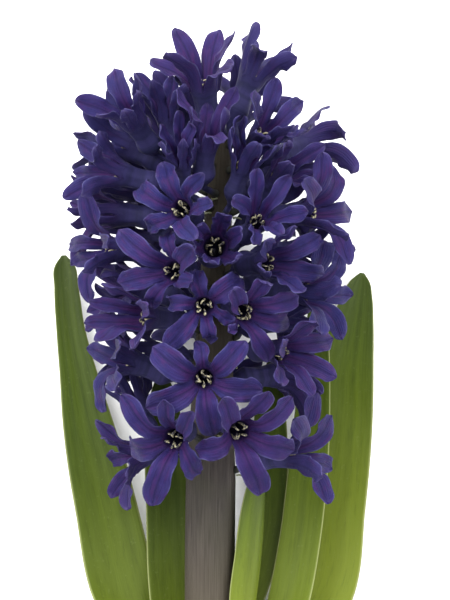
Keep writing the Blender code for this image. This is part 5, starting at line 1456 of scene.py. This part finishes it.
def anther_material():
    m = Nodes("anther_cream")
    place = m.node("NewGeometry").outputs["Position"]
    grain = m.noise(place, 1500.0, 3.0)
    base = m.mix(m.ramp(grain, 0.42, 0.58), (0.022, 0.019, 0.030), (0.27, 0.245, 0.150))
    m.set(m.shader.inputs["Base Color"], base)
    m.shader.inputs["Roughness"].default_value = 0.75
    m.bump(m.noise(place, 5200.0, 2.0), 0.0002, 0.8)
    return m.mat


def style_material():
    m = Nodes("style_pale")
    place = m.node("NewGeometry").outputs["Position"]
    base = m.mix(m.ramp(m.noise(place, 800.0, 2.0), 0.4, 0.6), (0.024, 0.022, 0.040), (0.070, 0.068, 0.085))
    m.set(m.shader.inputs["Base Color"], base)
    m.shader.inputs["Roughness"].default_value = 0.5
    return m.mat


def bract_material():
    m = Nodes("bract_pale")
    place = m.node("NewGeometry").outputs["Position"]
    base = m.mix(m.ramp(m.noise(place, 500.0, 2.0), 0.35, 0.65), (0.085, 0.092, 0.040), (0.20, 0.21, 0.13))
    m.set(m.shader.inputs["Base Color"], base)
    m.shader.inputs["Roughness"].default_value = 0.5
    m.bump(m.noise(place, 2500.0, 2.0), 0.0001, 0.6)
    return m.mat


def floor_material():
    m = Nodes("bench_white")
    place = m.node("NewGeometry").outputs["Position"]
    base = m.mix(m.noise(place, 30.0, 2.0), (0.90, 0.90, 0.90), (0.93, 0.93, 0.93))
    m.set(m.shader.inputs["Base Color"], base)
    m.shader.inputs["Roughness"].default_value = 0.9
    m.shader.inputs["Specular IOR Level"].default_value = 0.1
    return m.mat


# ---------------------------------------------------------------------------
# Objects
# ---------------------------------------------------------------------------
def make(name, verts, faces, mats, shift, attrs=None, slots=None):
    me = bpy.data.meshes.new(name)
    me.from_pydata((np.asarray(verts) / 1000 + shift).tolist(), [], [list(map(int, f)) for f in faces])
    for mat in mats:
        me.materials.append(mat)
    for key, vals in (attrs or {}).items():
        a = me.attributes.new(key, "FLOAT", "POINT")
        a.data.foreach_set("value", np.asarray(vals, np.float32))
    if slots is not None:
        me.polygons.foreach_set("material_index", np.asarray(slots, np.int32))
    bm = bmesh.new()
    bm.from_mesh(me)
    bmesh.ops.recalc_face_normals(bm, faces=bm.faces)
    bm.to_mesh(me)
    bm.free()
    me.polygons.foreach_set("use_smooth", np.ones(len(me.polygons), bool))
    me.update()
    obj = bpy.data.objects.new(name, me)
    bpy.context.scene.collection.objects.link(obj)
    return obj


def merge(parts):
    """Several closed meshes as one list of verts and faces."""
    verts, faces, n = [], [], 0
    for v, f, *_ in parts:
        verts.append(v)
        faces += [[i + n for i in q] for q in f]
        n += len(v)
    return np.concatenate(verts), faces


def studio(shift):
    """Floor, soft lights and the camera, square to the scape."""
    me = bpy.data.meshes.new("floor")
    me.from_pydata([(-3, -3, -0.0004), (3, -3, -0.0004), (3, 3, -0.0004), (-3, 3, -0.0004)], [], [(0, 1, 2, 3)])
    me.materials.append(floor_material())
    floor = bpy.data.objects.new("floor", me)
    bpy.context.scene.collection.objects.link(floor)
    right = Vector((1, 0, 0))
    up = Vector(turn_down(np.array([0, 1.0, 0])))
    back = Vector(turn_down(np.array([0, 0, 1.0])))
    aim = Vector(lay_down(np.array([VIEW_X, VIEW_U, 12.0])) / 1000 + shift)
    cam = bpy.data.cameras.new("camera")
    cam.sensor_width = 36
    cam.lens = 36 * VIEW_D / 0.180
    cam.clip_start = 0.01
    eye = bpy.data.objects.new("camera", cam)
    eye.matrix_world = Matrix(((right.x, up.x, back.x, 0), (right.y, up.y, back.y, 0), (right.z, up.z, back.z, 0), (0, 0, 0, 1)))
    eye.location = aim + back * VIEW_D
    bpy.context.scene.collection.objects.link(eye)
    bpy.context.scene.camera = eye

    def area(name, where, size, power, colour):
        data = bpy.data.lights.new(name, "AREA")
        data.shape = "RECTANGLE"
        data.size, data.size_y = size
        data.energy = power
        data.color = colour
        obj = bpy.data.objects.new(name, data)
        spot = aim + right * where[0] + up * where[1] + back * where[2]
        obj.location = spot
        obj.rotation_euler = (aim - spot).to_track_quat("-Z", "Y").to_euler()
        bpy.context.scene.collection.objects.link(obj)

    for args in LIGHTS:
        area(*args)
    world = bpy.data.worlds.new("world")
    world.use_nodes = True
    world.node_tree.nodes["Background"].inputs[0].default_value = (1, 1, 1, 1)
    world.node_tree.nodes["Background"].inputs[1].default_value = WORLD
    bpy.context.scene.world = world
    bpy.context.scene.view_settings.view_transform = "Standard"
    bpy.context.scene.view_settings.look = "None"
    return floor


VIEW_X, VIEW_U, VIEW_D = 4.2, 150.0, 1.0
WORLD = 2.00
LIGHTS = [
    ("key", (-0.55, 0.55, 0.75), (0.8, 0.8), 18.0, (1, 1, 1)),
    ("fill", (0.65, 0.10, 0.70), (0.9, 0.9), 7.0, (1, 1, 1)),
    ("top", (0.05, 0.75, 0.45), (0.9, 0.6), 8.0, (1, 1, 1)),
]


# ---------------------------------------------------------------------------
# The flower
# ---------------------------------------------------------------------------
sheets = {name: leaf_sheet(stations, 70, 9) for name, stations in LEAVES.items()}
points = relax(np.concatenate([s.reshape(-1, 3) for s in sheets.values()]), [leaf_tree(s) for s in sheets.values()])
solids = [floret_solid(p) for p in points]
ends = np.concatenate([v for v, _ in solids] + [s.reshape(-1, 3) for s in sheets.values()])
lowest = min(np.concatenate([v for v, _ in solids])[:, 2].min(), min(s[..., 2].min() for s in sheets.values()) - LEAF_T / 2)
shift = -np.array([0.5 * (ends[:, 0].min() + ends[:, 0].max()), 0.5 * (ends[:, 1].min() + ends[:, 1].max()), lowest]) / 1000

petal, leaf, flesh = petal_material(), leaf_material(), scape_material()
anther, style, scale_mat = anther_material(), style_material(), bract_material()


def place(obj, slot, *nodes):
    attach(obj, "root")
    if nodes:
        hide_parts(*nodes)
    return obj


for f, p in enumerate(points):
    name, _, _, _, opening, size, _ = FLORETS[f]
    v, fa, al, ac, inn = floret_fine(p, f)
    tint = np.full(len(v), (f * 0.618034 + 0.37) % 1.0)
    obj = make("fine_" + name, v, fa, [petal], shift, {"along": al, "across": ac, "inner": inn, "tint": tint})
    place(obj, "petal_violet", name)
    if opening > 0.3 or name in CUP_LOBES:
        parts = stamens(p, f, size)
        v, fa = merge(parts)
        slots = sum(([s[2]] * len(s[1]) for s in parts), [])
        place(make("stamens_" + name[7:], v, fa, [anther, style], shift, None, slots), "anther_cream")
v, fa = merge(bracts(points))
place(make("bracts", v, fa, [scale_mat], shift), "leaf_green")
for i, (name, stations) in enumerate(LEAVES.items()):
    v, fa, al, ac = leaf_fine(stations)
    # a leaf's tint seeds its pattern and also picks which leaves get painted light and which get painted shade
    tint = np.full(len(v), (i * 0.37 + 0.1) % 1)
    place(make("fine_" + name, v, fa, [leaf], shift, {"along": al, "across": ac, "tint": tint}), "leaf_green", name)
v, fa, al, ar = scape_fine()
place(make("fine_scape", v, fa, [flesh], shift, {"along": al, "around": ar}), "scape_flesh", "scape")

studio(shift)
